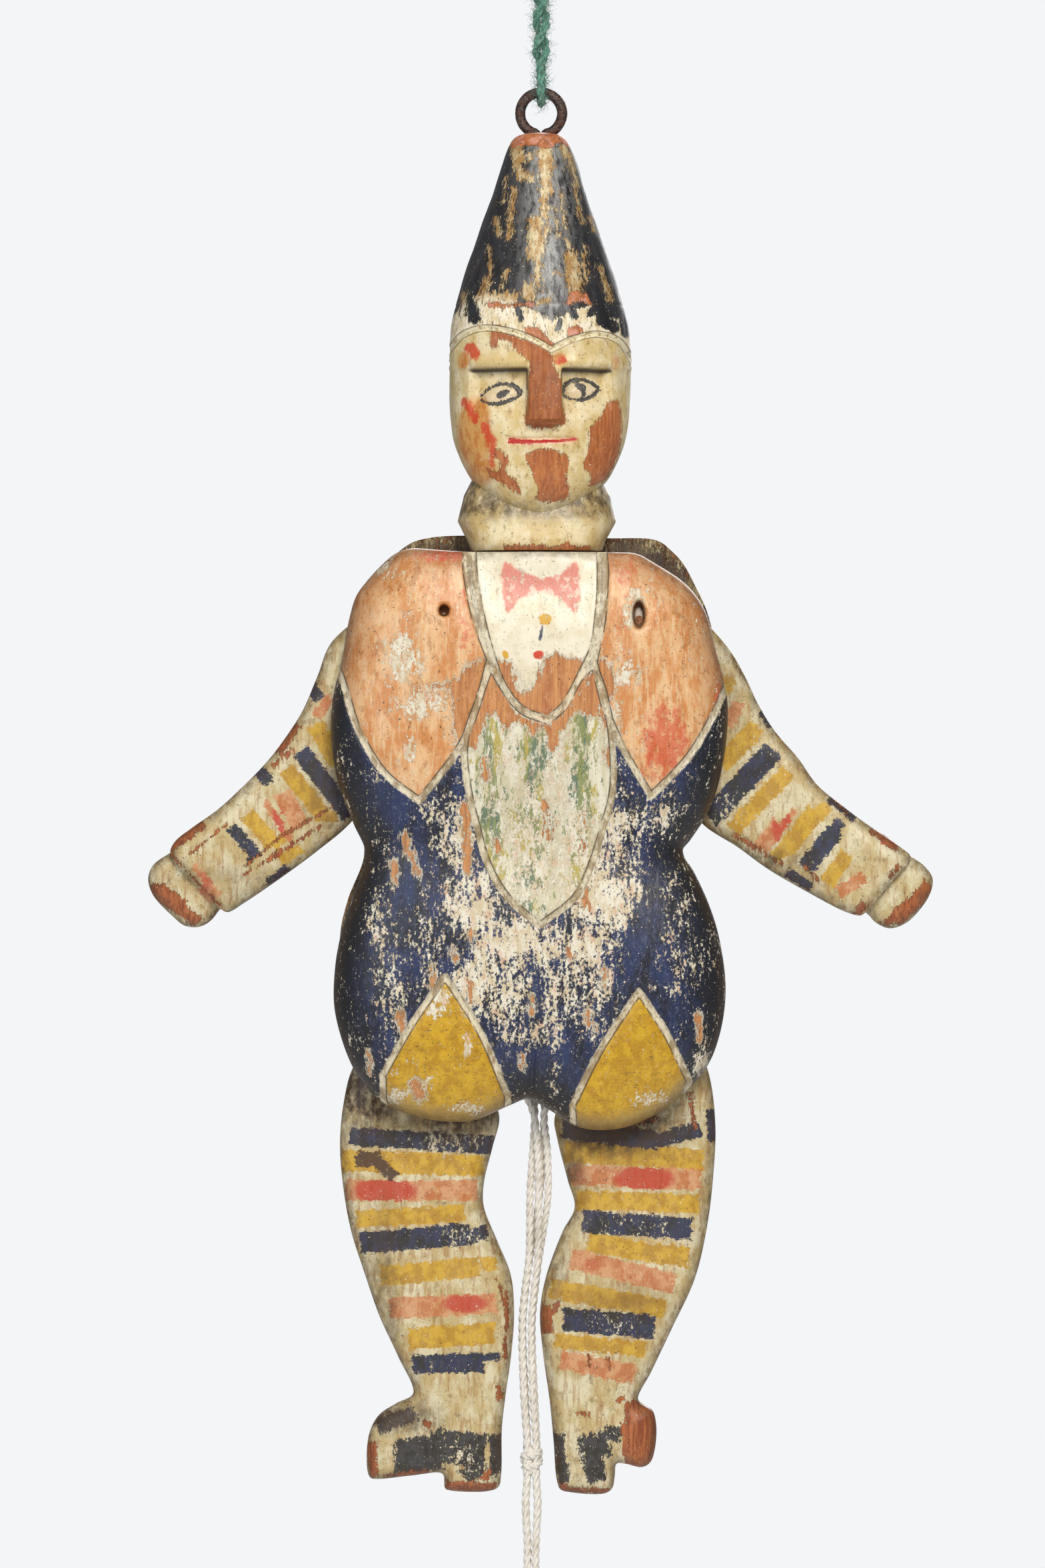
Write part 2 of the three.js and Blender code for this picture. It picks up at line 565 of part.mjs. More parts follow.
// Twine: down from its knot, round the eye's wire and back up, its two strands laid round each other
const TWINE_TOP = 41;
const TWINE_KNOT = { x: 0, top: 50, bottom: TWINE_TOP + GAP, radius: 3.6 };
const TWINE_LAY = 1.35; // each strand's distance from the middle of the pair
const TWINE_PITCH = 15;
const TWINE_START = 13; // where the strands begin to be laid together

function twineStrand(phase, sense) {
  const points = [];
  const laidTo = TWINE_TOP - 2;
  const turns = (laidTo - TWINE_START) / TWINE_PITCH;
  const count = Math.round(turns * 8);
  for (let i = 0; i <= count; i++) {
    const angle = phase + (2 * Math.PI * turns * i) / count;
    const z = TWINE_START + ((laidTo - TWINE_START) * i) / count;
    points.push([TWINE_LAY * Math.cos(angle), TWINE_LAY * Math.sin(angle), z]);
  }
  const [x, y] = points[count];
  points.push([x, y, TWINE_TOP - 0.8], [x, y, TWINE_TOP]);
  return sense > 0 ? points : points.reverse();
}

function buildTwine() {
  const wireTop = EYE_RADIUS;
  const round = EYE_WIRE + TWINE_RADIUS + GAP;
  const loop = [[0, -round * 0.97, 8.5]];
  for (let i = 0; i <= 6; i++) {
    const angle = Math.PI * (1 + i / 6);
    loop.push([0, round * Math.cos(angle), wireTop + round * Math.sin(angle)]);
  }
  loop.push([0, round * 0.97, 8.5]);
  const route = [...twineStrand(-Math.PI / 2, -1), ...loop, ...twineStrand(Math.PI / 2, 1)];
  addMesh('hanging_twine', cordAlong(route, TWINE_RADIUS, 1.7), materials.twine);
  addMesh('twine_knot', turnedKnot(TWINE_KNOT, 0.8), materials.twine);
}

buildHead();
buildScrewEye();
buildBoards();
buildSpacers();
buildLimbs();
buildPins();
buildStrings();
buildTwine();

export default group;
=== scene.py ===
"""Looks of the jumping-jack clown: camera, cords, carved wood and worn paint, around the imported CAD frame.
Outlines are in millimetres, as in the CAD; everything that Blender holds is in metres."""

import json
import math
import bpy
import numpy as np
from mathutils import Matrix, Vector
from mathutils.geometry import delaunay_2d_cdt


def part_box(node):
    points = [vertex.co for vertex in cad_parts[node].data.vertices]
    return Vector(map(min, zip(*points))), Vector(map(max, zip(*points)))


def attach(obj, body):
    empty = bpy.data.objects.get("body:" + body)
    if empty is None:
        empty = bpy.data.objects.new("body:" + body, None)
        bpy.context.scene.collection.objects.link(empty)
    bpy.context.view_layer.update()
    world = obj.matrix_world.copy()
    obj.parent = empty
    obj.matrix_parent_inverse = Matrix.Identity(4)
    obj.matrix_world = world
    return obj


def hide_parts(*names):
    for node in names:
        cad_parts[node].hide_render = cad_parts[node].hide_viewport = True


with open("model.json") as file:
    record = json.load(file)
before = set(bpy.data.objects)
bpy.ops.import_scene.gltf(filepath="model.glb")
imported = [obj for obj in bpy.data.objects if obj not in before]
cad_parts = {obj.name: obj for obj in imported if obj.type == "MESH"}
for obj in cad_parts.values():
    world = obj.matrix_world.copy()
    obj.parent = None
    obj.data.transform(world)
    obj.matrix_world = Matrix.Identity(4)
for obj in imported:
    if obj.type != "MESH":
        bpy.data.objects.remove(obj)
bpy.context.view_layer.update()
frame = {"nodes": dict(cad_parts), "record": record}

MM = 0.001
scene = bpy.context.scene


# Camera: straight at the figure's front, as in the photograph

VIEW_CENTRE = (-0.0049, -0.1760)
VIEW_HEIGHT = 0.4116
CAMERA_DISTANCE = 2.4


def make_camera():
    data = bpy.data.cameras.new("camera")
    data.sensor_fit = "VERTICAL"
    data.sensor_height = 36.0
    data.lens = data.sensor_height * CAMERA_DISTANCE / VIEW_HEIGHT
    data.clip_start = 0.05
    data.clip_end = 50
    camera = bpy.data.objects.new("camera", data)
    camera.location = (VIEW_CENTRE[0], -CAMERA_DISTANCE, VIEW_CENTRE[1])
    camera.rotation_euler = (math.pi / 2, 0, 0)
    scene.collection.objects.link(camera)
    scene.camera = camera


make_camera()


# Curves and distances in the plane of the boards

def smooth(points, step, closed):
    """Centripetal Catmull-Rom curve through given points, sampled evenly."""
    pts = np.asarray(points, float)
    if closed:
        pts = np.vstack([pts[-1], pts, pts[0], pts[1]])
    else:
        pts = np.vstack([2 * pts[0] - pts[1], pts, 2 * pts[-1] - pts[-2]])
    out = []
    for p0, p1, p2, p3 in zip(pts, pts[1:], pts[2:], pts[3:]):
        t1 = np.linalg.norm(p1 - p0) ** 0.5
        t2 = t1 + np.linalg.norm(p2 - p1) ** 0.5
        t3 = t2 + np.linalg.norm(p3 - p2) ** 0.5
        t = np.linspace(t1, t2, 24, endpoint=False)[:, None]
        a1 = (t1 - t) / t1 * p0 + t / t1 * p1
        a2 = (t2 - t) / (t2 - t1) * p1 + (t - t1) / (t2 - t1) * p2
        a3 = (t3 - t) / (t3 - t2) * p2 + (t - t2) / (t3 - t2) * p3
        b1 = (t2 - t) / t2 * a1 + t / t2 * a2
        b2 = (t3 - t) / (t3 - t1) * a2 + (t - t1) / (t3 - t1) * a3
        out.append((t2 - t) / (t2 - t1) * b1 + (t - t1) / (t2 - t1) * b2)
    line = np.vstack(out + [pts[1:2] if closed else pts[-2:-1]])
    along = np.concatenate([[0], np.cumsum(np.linalg.norm(np.diff(line, axis=0), axis=1))])
    count = max(4, round(along[-1] / step))
    where = np.linspace(0, along[-1], count + 1)
    if closed:
        where = where[:-1]
    return np.column_stack([np.interp(where, along, line[:, k]) for k in range(line.shape[1])])


def loop(points, step=0.6):
    line = smooth(points, step, True)
    after = np.roll(line, -1, axis=0)
    area = np.sum(line[:, 0] * after[:, 1] - after[:, 0] * line[:, 1])
    return line if area > 0 else line[::-1]


def to_path(p, line, closed=False):
    """Distance from each point to a line of short segments, and where along it the nearest place is."""
    a = line if closed else line[:-1]
    b = np.roll(line, -1, axis=0) if closed else line[1:]
    ab = b - a
    lengths = (ab**2).sum(1)
    best = np.full(len(p), np.inf)
    place = np.zeros(len(p))
    for start in range(0, len(p), 4000):
        q = p[start : start + 4000, None, :] - a[None]
        t = np.clip((q * ab).sum(2) / lengths, 0, 1)
        d = ((q - t[..., None] * ab) ** 2).sum(2)
        i = d.argmin(1)
        rows = np.arange(len(i))
        best[start : start + 4000] = np.sqrt(d[rows, i])
        place[start : start + 4000] = (i + t[rows, i]) / len(a)
    return best, place


def inside(p, line):
    """True where a point lies within a closed line."""
    result = np.zeros(len(p), bool)
    for a, b in zip(line, np.roll(line, -1, axis=0)):
        if a[1] == b[1]:
            continue
        crosses = (a[1] > p[:, 1]) != (b[1] > p[:, 1])
        result ^= crosses & (p[:, 0] < (b[0] - a[0]) * (p[:, 1] - a[1]) / (b[1] - a[1]) + a[0])
    return result


def depth_in(p, line):
    """Signed distance to a closed line: positive inside."""
    d = to_path(p, line, True)[0]
    return np.where(inside(p, line), d, -d)


def step_up(x, low, high):
    t = np.clip((x - low) / (high - low), 0, 1)
    return t * t * (3 - 2 * t)


def bump(x, centre, width):
    return np.exp(-(((x - centre) / width) ** 2))


def noise(p, scale, seed=0):
    """Smooth value noise between -1 and 1; scale is the size of its lumps, one number or one per axis."""
    q = np.asarray(p, float) / np.asarray(scale, float)
    if q.shape[1] == 2:
        q = np.column_stack([q, np.full(len(q), 0.37)])
    cell = np.floor(q).astype(np.int64)
    part = q - cell
    part = part * part * (3 - 2 * part)
    total = np.zeros(len(q))
    for corner in range(8):
        step = np.array([corner & 1, corner >> 1 & 1, corner >> 2 & 1])
        at = cell + step
        h = at[:, 0] * 374761393 + at[:, 1] * 668265263 + at[:, 2] * 2147483647 + seed * 1274126177
        h = (h ^ (h >> 13)) * 1103515245 & 0x7FFFFFFF
        weight = np.prod(np.where(step == 1, part, 1 - part), axis=1)
        total += weight * ((h ^ (h >> 16)) & 0xFFFF) / 32767.5
    return total - 1


# Meshes

def make_piece(name, body, slot, nodes, verts, faces, material, attributes=None):
    """A mesh piece in millimetres, put into the frame on a body, standing for CAD nodes."""
    mesh = bpy.data.meshes.new(name)
    mesh.from_pydata((np.asarray(verts) * MM).tolist(), [], faces)
    for key, values in (attributes or {}).items():
        layer = mesh.attributes.new(key, "FLOAT", "POINT")
        layer.data.foreach_set("value", np.asarray(values, np.float32))
    mesh.polygons.foreach_set("use_smooth", [True] * len(mesh.polygons))
    mesh.update()
    piece = bpy.data.objects.new(name, mesh)
    scene.collection.objects.link(piece)
    piece.data.materials.append(material)
    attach(piece, body)
    if nodes:
        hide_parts(*nodes)
    return piece


# Distances between the points that fill each face
FRONT_SPACING, BACK_SPACING, LIMB_SPACING = 0.62, 1.1, 0.6
EDGE_ROWS = (0.12, 0.4, 0.85, 1.45, 2.15)  # distances from a board's edge at which it has rows of points
WALL_ROWS = 5


class Board:
    """A sawn and carved piece: an outline filled with evenly spread points, with a face on either side."""

    def __init__(self, outline, spacing):
        self.rim = outline
        normal = np.roll(outline, -1, axis=0) - np.roll(outline, 1, axis=0)
        normal = np.column_stack([-normal[:, 1], normal[:, 0]])
        normal /= np.linalg.norm(normal, axis=1)[:, None]
        rows = []
        for depth in EDGE_ROWS:
            row = outline + normal * depth
            rows.append(row[to_path(row, outline, True)[0] > depth * 0.93])
        low, high = outline.min(0), outline.max(0)
        xs = np.arange(low[0], high[0], spacing)
        zs = np.arange(low[1], high[1], spacing * 0.87)
        grid = np.array([(x + (k % 2) * spacing / 2, z) for k, z in enumerate(zs) for x in xs])
        grid = grid[inside(grid, outline)]
        grid = grid[to_path(grid, outline, True)[0] > EDGE_ROWS[-1] + spacing * 0.6]
        points = np.vstack([outline] + rows + [grid])
        count = len(outline)
        ring = list(range(count))
        filled = delaunay_2d_cdt([Vector(p) for p in points], [], [ring], 1, 1e-6)
        self.flat = np.array([tuple(v) for v in filled[0]])
        self.faces = np.array([f for f in filled[2] if len(f) == 3])
        a, b, c = (self.flat[self.faces[:, k]] for k in range(3))
        turn = (b[:, 0] - a[:, 0]) * (c[:, 1] - a[:, 1]) - (b[:, 1] - a[:, 1]) * (c[:, 0] - a[:, 0])
        self.faces[turn < 0] = self.faces[turn < 0][:, ::-1]
        self.edge = to_path(self.flat, outline, True)[0]
        self.count = count

    def solid(self, front, back):
        """Vertices and faces of the closed piece from the Y of its two faces at each flat point."""
        n = len(self.flat)
        both = [
            np.column_stack([self.flat[:, 0], y, self.flat[:, 1]])
            for y in (np.broadcast_to(front, n), np.broadcast_to(back, n))
        ]
        verts = [both[0], both[1]]
        faces = self.faces.tolist() + (self.faces[:, ::-1] + n).tolist()
        ring = list(range(self.count))
        previous, total = ring, 2 * n
        for row in range(1, WALL_ROWS + 1):
            if row == WALL_ROWS:
                current = [n + i for i in ring]
            else:
                share = row / WALL_ROWS
                verts.append(both[0][: self.count] * (1 - share) + both[1][: self.count] * share)
                current = [total + i for i in ring]
                total += self.count
            for i in ring:
                j = (i + 1) % self.count
                faces.append((previous[i], current[i], current[j], previous[j]))
            previous = current
        return np.vstack(verts), faces

    def spread(self, values, verts):
        """Values of the flat points, repeated for both faces and the wall's rows."""
        n = len(self.flat)
        walls = (len(verts) - 2 * n) // self.count
        return np.concatenate([values, values] + [values[: self.count]] * walls)


def quarter_round(distance, radius):
    short = 1 - np.clip(distance / radius, 0, 1)
    return np.sqrt(1 - short * short)


# Driving sizes, in millimetres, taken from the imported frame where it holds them

def node_box(node):
    low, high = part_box(node)
    return np.array(low) / MM, np.array(high) / MM


def joint_place(name):
    joint = next(j for j in frame["record"]["behaviour"]["joints"] if j["name"] == name)
    return np.array(joint["pos_m"])[[0, 2]] / MM


SLOT_HALF = -node_box("front_board")[1][1]
LIMB_HALF = node_box("arm_left")[1][1]
REAR = node_box("back_board")[1][1]
CROWN = SLOT_HALF * -1 - node_box("front_board")[0][1]
PIVOTS = {name: joint_place(name + "_swing") for name in ("arm_left", "arm_right", "leg_left", "leg_right")}


# The front board: crowned, with the costume's panels carved into it

FRONT_OUTLINE = [
    (-32.6, -114.5), (-27, -114.9), (-20, -115.4), (0, -115.5), (18, -115.6), (24.8, -115.9), (29, -118),
    (37.8, -123.9), (42.4, -130), (45.6, -141), (48.7, -155), (47.6, -170), (44.1, -182.4), (39, -190.6),
    (36.9, -193.6), (39.7, -198.5), (43.8, -207.4), (46.5, -216.2), (48.2, -230), (46.5, -242),
    (43, -250.3), (34.9, -258.8), (28.8, -262.9), (22, -265.7), (14.5, -266.4), (9, -265.3), (2.2, -261.2),
    (-2.8, -258.4), (-3.8, -258.2), (-8.8, -260.2), (-17.5, -263.8), (-25.7, -264.1), (-33.9, -262.5),
    (-41.4, -259.2), (-46.8, -253.7), (-50.2, -248), (-54, -235), (-53.9, -224), (-52.3, -215),
    (-49.5, -206), (-45.9, -194.5), (-49, -186.5), (-52.7, -177), (-54.9, -165), (-54.5, -154), (-52, -143),
    (-50.2, -133), (-48.4, -127), (-45.9, -123.4), (-41.5, -118.6), (-38, -115.8), (-34.6, -114.6),
]
DICKEY = [
    (-17.9, -113), (-17.9, -113), (-17.6, -120), (-15.9, -130.9), (-13.1, -141.9), (-9.6, -151),
    (-4.9, -156.6), (1.7, -159.2), (1.7, -159.2), (5.8, -155.6), (9.9, -148.2), (13.4, -140.5),
    (14.9, -130.9), (15.4, -122), (15.2, -113), (15.2, -113),
]
LAPELS = {
    "left": [
        (-21.2, -111), (-19.4, -122), (-17.2, -133), (-13.4, -143.6), (-13.4, -143.6), (-15.9, -153),
        (-20.7, -165.5), (-31.7, -180.4), (-31.7, -180.4), (-40.8, -173.1), (-47.6, -162.1), (-52.3, -148),
        (-58, -135), (-58, -108), (-58, -108),
    ],
    "right": [
        (17.6, -111), (16.7, -122), (15.9, -133), (13.7, -144.2), (13.7, -144.2), (17, -157.2),
        (22.4, -168.9), (28.5, -179.2), (28.5, -179.2), (38.2, -169.1), (44.6, -158.6), (47.8, -151.7),
        (54, -135), (54, -108), (54, -108),
    ],
}
WAISTCOAT = [
    (-13.2, -144.9), (-13.2, -144.9), (-15.9, -153), (-19.9, -165.6), (-19.1, -176.8), (-16.8, -187),
    (-13.8, -197), (-8.9, -205.3), (-0.4, -212.8), (-0.4, -212.8), (8.9, -205.3), (13.2, -196.5),
    (16, -187.6), (18.5, -178), (18.4, -165), (16.4, -153), (13.6, -144.8), (13.6, -144.8), (9.9, -148.6),
    (5.8, -156), (1.7, -159.6), (1.7, -159.6), (-4.9, -157), (-9.6, -151.4),
]
OCHRE = {
    "left": [
        (-25, -226), (-25, -226), (-33.4, -238), (-41.4, -252), (-41.4, -252), (-40, -262), (-26, -270),
        (-10, -266), (-8.7, -257.5), (-8.7, -257.5), (-15.6, -241),
    ],
    "right": [
        (25.4, -229.8), (25.4, -229.8), (15.4, -245), (8, -259.9), (8, -259.9), (10, -270), (26, -272),
        (36, -262), (38.6, -253.4), (38.6, -253.4), (32.6, -241),
    ],
}
SEAM = [(-1.7, -240.5), (-2.3, -250), (-3.3, -261)]
BOW = {
    "left": [(-9.7, -118), (-9.1, -131.7), (-4.6, -127.5), (-0.4, -126), (0, -122.6), (-4.8, -121)],
    "right": [(9.3, -117.9), (9, -131.8), (4.4, -127.4), (-0.2, -126), (0, -122.6), (4.6, -121.2)],
}
GROOVE_HALF = 0.7
FRONT_WALL = 5  # thickness at the rounded edge
CROWN_WIDTH = 25  # how far in from the edge the crown begins


def groove_cut(distance, half=GROOVE_HALF, deep=0.95):
    """Depth of a gouged V groove with a softened lip, from the distance to its line."""
    return deep * np.exp(-((distance / half) ** 2)) - 0.08 * np.exp(-(((distance - 1.6 * half) / half) ** 2))


def pointed(run, step=0.6):
    """A closed line with a corner wherever a point is repeated, smooth elsewhere."""
    corners = [k for k, p in enumerate(run) if p == run[k - 1]]
    if not corners:
        return loop(run, step)
    run = run[corners[0] :] + run[: corners[0]]
    parts, current = [], [run[0]]
    for k in range(1, len(run)):
        if run[k] == run[k - 1]:
            parts.append(current)
            current = [run[k]]
        else:
            current.append(run[k])
    parts.append(current)
    line = np.vstack([smooth(p, step, False)[:-1] for p in parts if len(p) > 1])
    after = np.roll(line, -1, axis=0)
    area = np.sum(line[:, 0] * after[:, 1] - after[:, 0] * line[:, 1])
    return line if area > 0 else line[::-1]


def blobs(p, spots):
    """Strength at each point of soft elliptical spots: x, z, half width, half height, strength."""
    total = np.zeros(len(p))
    for x, z, wide, high, strength in spots:
        r = ((p[:, 0] - x) / wide) ** 2 + ((p[:, 1] - z) / high) ** 2
        total = np.maximum(total, strength * np.exp(-(r**1.5)))
    return total


def front_panels(p):
    """How deep each point lies in each painted panel, below 0 outside it."""
    panels = {
        "dickey": [pointed(DICKEY)],
        "lapel": [pointed(line) for line in LAPELS.values()],
        "waistcoat": [pointed(WAISTCOAT)],
        "ochre": [pointed(line) for line in OCHRE.values()],
        "bow": [loop(line) for line in BOW.values()],
    }
    return {key: np.max([depth_in(p, line) for line in lines], axis=0) for key, lines in panels.items()}


def worn_over_pins(p, proud):
    """Sinks the hollows over the shoulder pins. Gives how deep each point lies in one, below 0 outside."""
    pit = np.full(len(p), -9.0)
    for name, size in (("arm_left", (1.5, 1.7)), ("arm_right", (1.8, 3.9))):
        at = PIVOTS[name] + (0, 0 if name == "arm_left" else 1.2)
        r = np.hypot((p[:, 0] - at[0]) / size[0], (p[:, 1] - at[1]) / size[1])
        proud -= 4.6 * (1 - step_up(r, 0.72, 1.1))
        pit = np.maximum(pit, 1 - r)
    return pit


def front_marks(board, verts):
    """What the paint needs to know of the worn places, the bands and the dots."""
    p = board.flat
    attributes = {}
    bands = np.max([bump(p[:, 0], x, 3.6) for x in (-12.8, -2.6, 10.6)], axis=0)
    attributes["bands"] = board.spread(bands * step_up(p[:, 1], -210, -200), verts)
    attributes["rim"] = board.spread(board.edge, verts)
    for key, spots in (("chalk", FRONT_CHALK), ("redness", FRONT_RED)):
        attributes[key] = board.spread(blobs(p, spots), verts)
    stripped = [depth_in(p, loop(line)) for line in FRONT_STRIPPED] + [stroke_depth(p, FRONT_FLAKES)]
    attributes["bare"] = board.spread(np.max(stripped, axis=0), verts)
    for key, strokes in SHIRT_DOTS.items():
        attributes[key] = board.spread(stroke_depth(p, strokes), verts)
    return attributes


def front_board():
    board = Board(loop(FRONT_OUTLINE), FRONT_SPACING)
    p = board.flat
    under_neck = bump(p[:, 0], -1, 24) * step_up(p[:, 1], -128, -116)
    wall = FRONT_WALL + 8 * under_neck
    crown = CROWN - 0.6 - 2.5 * bump(p[:, 1], -192, 16)
    proud = wall + (crown - wall) * quarter_round(board.edge, CROWN_WIDTH)
    depth = front_panels(p)
    lines = [np.abs(depth[key]) for key in ("dickey", "lapel", "waistcoat", "ochre")]
    lines.append(to_path(p, smooth(SEAM, 0.6, False))[0])
    drawn_line = np.min(lines[:-1], axis=0)
    line = np.minimum(drawn_line, lines[-1])
    proud -= groove_cut(line + 0.12 * noise(p, 2.5, 3)) * np.clip(board.edge / 2, 0, 1)
    proud += 0.35 * step_up(depth["lapel"], 0, 5) + 0.4 * step_up(depth["ochre"], 0, 4)
    proud -= 0.25 * step_up(depth["dickey"], 0, 3)
    proud += 0.22 * noise(p, (9, 14), 1) + 0.07 * noise(p, (1.1, 5), 2) + 0.03 * noise(p, 0.9, 5)
    pit = worn_over_pins(p, proud)
    front = -SLOT_HALF - np.maximum(proud, 0.6)
    verts, faces = board.solid(front, -SLOT_HALF)
    attributes = {key: board.spread(values, verts) for key, values in depth.items()}
    attributes["groove"] = board.spread(drawn_line, verts)
    attributes["pit"] = board.spread(pit, verts)
    attributes.update(front_marks(board, verts))
    nodes, paint = ["front_board"], costume_paint()
    return make_piece("torso_front", "torso", "costume_paint", nodes, verts, faces, paint, attributes)


# Where the front's paint has worn to its white ground: x, z, half width, half height, strength
FRONT_CHALK = [
    (-20, -207, 9, 10, 1.0), (14, -207, 12, 10, 1.0), (-1, -217, 20, 7, 1.0), (-22, -190, 5, 14, 0.8),
    (20, -186, 5, 12, 0.8), (-12, -228, 14, 8, 0.78), (8, -228, 12, 9, 0.78), (-28, -212, 5, 14, 0.6),
    (24, -200, 4, 10, 0.7), (0, -240, 10, 6, 0.5), (-27, -184, 6, 5, 0.6), (28, -184, 8, 6, 0.5),
    (0, -186, 15, 20, 0.8), (-36, -145, 5, 8, 1.0), (-31, -154.5, 10, 5, 0.95),
    (-34.2, -166.8, 1.7, 3.4, 2.0), (-40.6, -120, 4, 3.4, 0.9), (21, -147.4, 8, 4, 1.05),
    (18.4, -160.4, 3, 6, 1.0), (24.4, -127.4, 2.2, 2.4, 1.9), (22.7, -132, 1.7, 3, 2.0),
    (-27, -234.6, 3, 2.6, 1.3), (-19.4, -243, 1.2, 3, 1.3), (-37.4, -256, 3, 2, 1.2),
    (28, -258, 6, 2.4, 0.9), (-21, -260.4, 7, 2, 0.9), (42, -250, 3, 5, 0.9), (-4, -150, 3, 4, 0.8),
    (-26, -231.6, 2.6, 3, 1.5), (-37.6, -256.6, 3.4, 2.2, 1.6), (-31.8, -254.8, 3.6, 2.2, 1.3),
    (-19.4, -244, 1.2, 3.4, 1.3), (13, -196, 3, 6, 0.9), (-40, -220, 5, 20, 0.35), (36, -215, 5, 20, 0.35),
    (3.6, -246, 1.6, 8, 0.8), (-52, -130, 3, 12, 0.6),
]
# Where it has flaked to bare wood: ragged patches, and strokes with half their width
FRONT_STRIPPED = [
    [
        (-14.6, -144), (-19, -145.5), (-22.5, -149), (-28, -150.6), (-23, -152), (-22.9, -160), (-21, -165),
        (-18, -167), (-14.6, -160), (-14, -150),
    ],
    [
        (-13, -145), (-9, -144), (-6.6, -148), (-6.5, -152), (-3.6, -151.5), (-1.5, -149.5), (0.5, -144.5),
        (3, -142.5), (10, -144), (12.8, -145.4), (9, -155), (2, -160), (-5, -158), (-10, -151),
    ],
    [
        (-13.6, -146), (-17, -157), (-17, -160.4), (-12, -157.6), (-9, -161.6), (-6, -160), (-2, -164),
        (0, -161), (3, -167), (6, -161), (9, -157.4), (14.4, -158.4), (13.8, -146), (10, -152), (5, -158.6),
        (1.7, -160.4), (-5, -158), (-9.6, -152.6),
    ],
    [
        (13.5, -144.2), (17.4, -144.6), (19.2, -150), (18.5, -153), (16, -155), (17.6, -163), (15.6, -159),
        (14.4, -150),
    ],
]
FRONT_FLAKES = [
    (-35.5, -189.5, -34.4, -194, 0.9), (-34.2, -194, -32.2, -199, 0.7), (-38.3, -197, -38, -201.5, 0.8),
    (-19.8, -181.5, -19.2, -198.5, 1.1), (0.8, -181, 2, -190.5, 0.8), (11.2, -184, 10.9, -187.6, 0.6),
    (11, -191, 10.8, -194.5, 0.5), (11.4, -203, 11.9, -208, 0.8), (-18.4, -214.5, -17.6, -218, 0.6),
    (-28.5, -223, -28.2, -228.6, 0.6), (-37, -235.5, -36, -240, 1.2), (-23, -218.5, -22.6, -221.5, 0.5),
    (7.2, -218.5, 7.6, -221, 0.8), (11.8, -235.5, 12, -238, 0.9), (13.6, -239, 14, -240, 0.6),
    (-2.6, -231, -2.4, -235, 0.7), (-11.6, -191, -11.4, -193.4, 0.6), (40.8, -236, 41.4, -243, 0.6),
    (-44.8, -246, -44.6, -251, 0.4), (-5, -247, -5, -249.6, 0.7), (-32.6, -254, -31.6, -257, 1.5),
    (-15, -170, -14.4, -175, 0.5), (17.4, -166, 17.6, -171, 0.5), (-18.6, -228, -18, -233, 0.5),
    (16.4, -224, 16, -229, 0.4),
]
FRONT_RED = [
    (32, -166, 9, 14, 0.62), (24, -176, 6, 8, 0.5), (-24, -116.5, 12, 2.6, 0.6), (-19.5, -138, 4, 10, 0.45),
    (-19.6, -124, 1.4, 9, 0.5), (22, -122, 5, 8, 0.42), (34, -119, 6, 3, 0.5), (20, -140, 4, 12, 0.35),
    (46.4, -154, 2, 6, 0.6), (-32, -178, 4, 4, 0.3),
]
SHIRT_DOTS = {
    "dot_ochre": [(0.8, -133.2, 1.3, -133.2, 1.5), (-9.5, -142, -9.2, -142.8, 0.9)],
    "dot_navy": [(0.2, -135, -0.3, -138.4, 0.42)],
    "dot_red": [(-1, -142.4, -0.5, -142.4, 1.2)],
}


# The back board

BACK_OUTLINE = [
    (-29.9, -111.3), (-24.2, -110.7), (0, -110.9), (17.5, -111.3), (30.5, -111.9), (34.5, -114.8),
    (37.4, -118), (40.6, -123.9), (44, -131.6), (47.3, -150), (46.3, -170), (42.8, -182.4), (37.3, -193),
    (40, -199.5), (42, -205), (46, -218), (46.6, -232), (44.5, -243), (38, -253), (26, -260.8),
    (12, -262.6), (3, -258.5), (-3, -254.8), (-10, -258), (-26, -261.3), (-39, -257.5), (-48.5, -247),
    (-52.6, -233), (-52.8, -214.7), (-50.8, -206.2), (-46.6, -194.6), (-48, -186.5), (-51.5, -177),
    (-53.4, -165), (-52.8, -150), (-50, -137), (-44.5, -125), (-40, -117.4), (-34.3, -112.6),
]


def back_board():
    board = Board(loop(BACK_OUTLINE), BACK_SPACING)
    p = board.flat
    thick = REAR - SLOT_HALF
    proud = thick - 2 + 2 * quarter_round(board.edge, 2.4)
    proud -= 0.12 * (1 + noise(p, (7, 30), 11)) + 0.05 * (1 + noise(p, (1.6, 11), 12))
    for name, at in PIVOTS.items():
        r = np.hypot(p[:, 0] - at[0], p[:, 1] - at[1])
        proud -= 1.3 * (1 - step_up(r, 1.1, 1.7))
    verts, faces = board.solid(SLOT_HALF, SLOT_HALF + proud)
    attributes = {"rim": board.spread(board.edge, verts)}
    wood = back_wood()
    return make_piece("torso_back", "torso", "back_wood", ["back_board"], verts, faces, wood, attributes)


# Arms and legs: sawn boards with rounded edges, painted with stripes

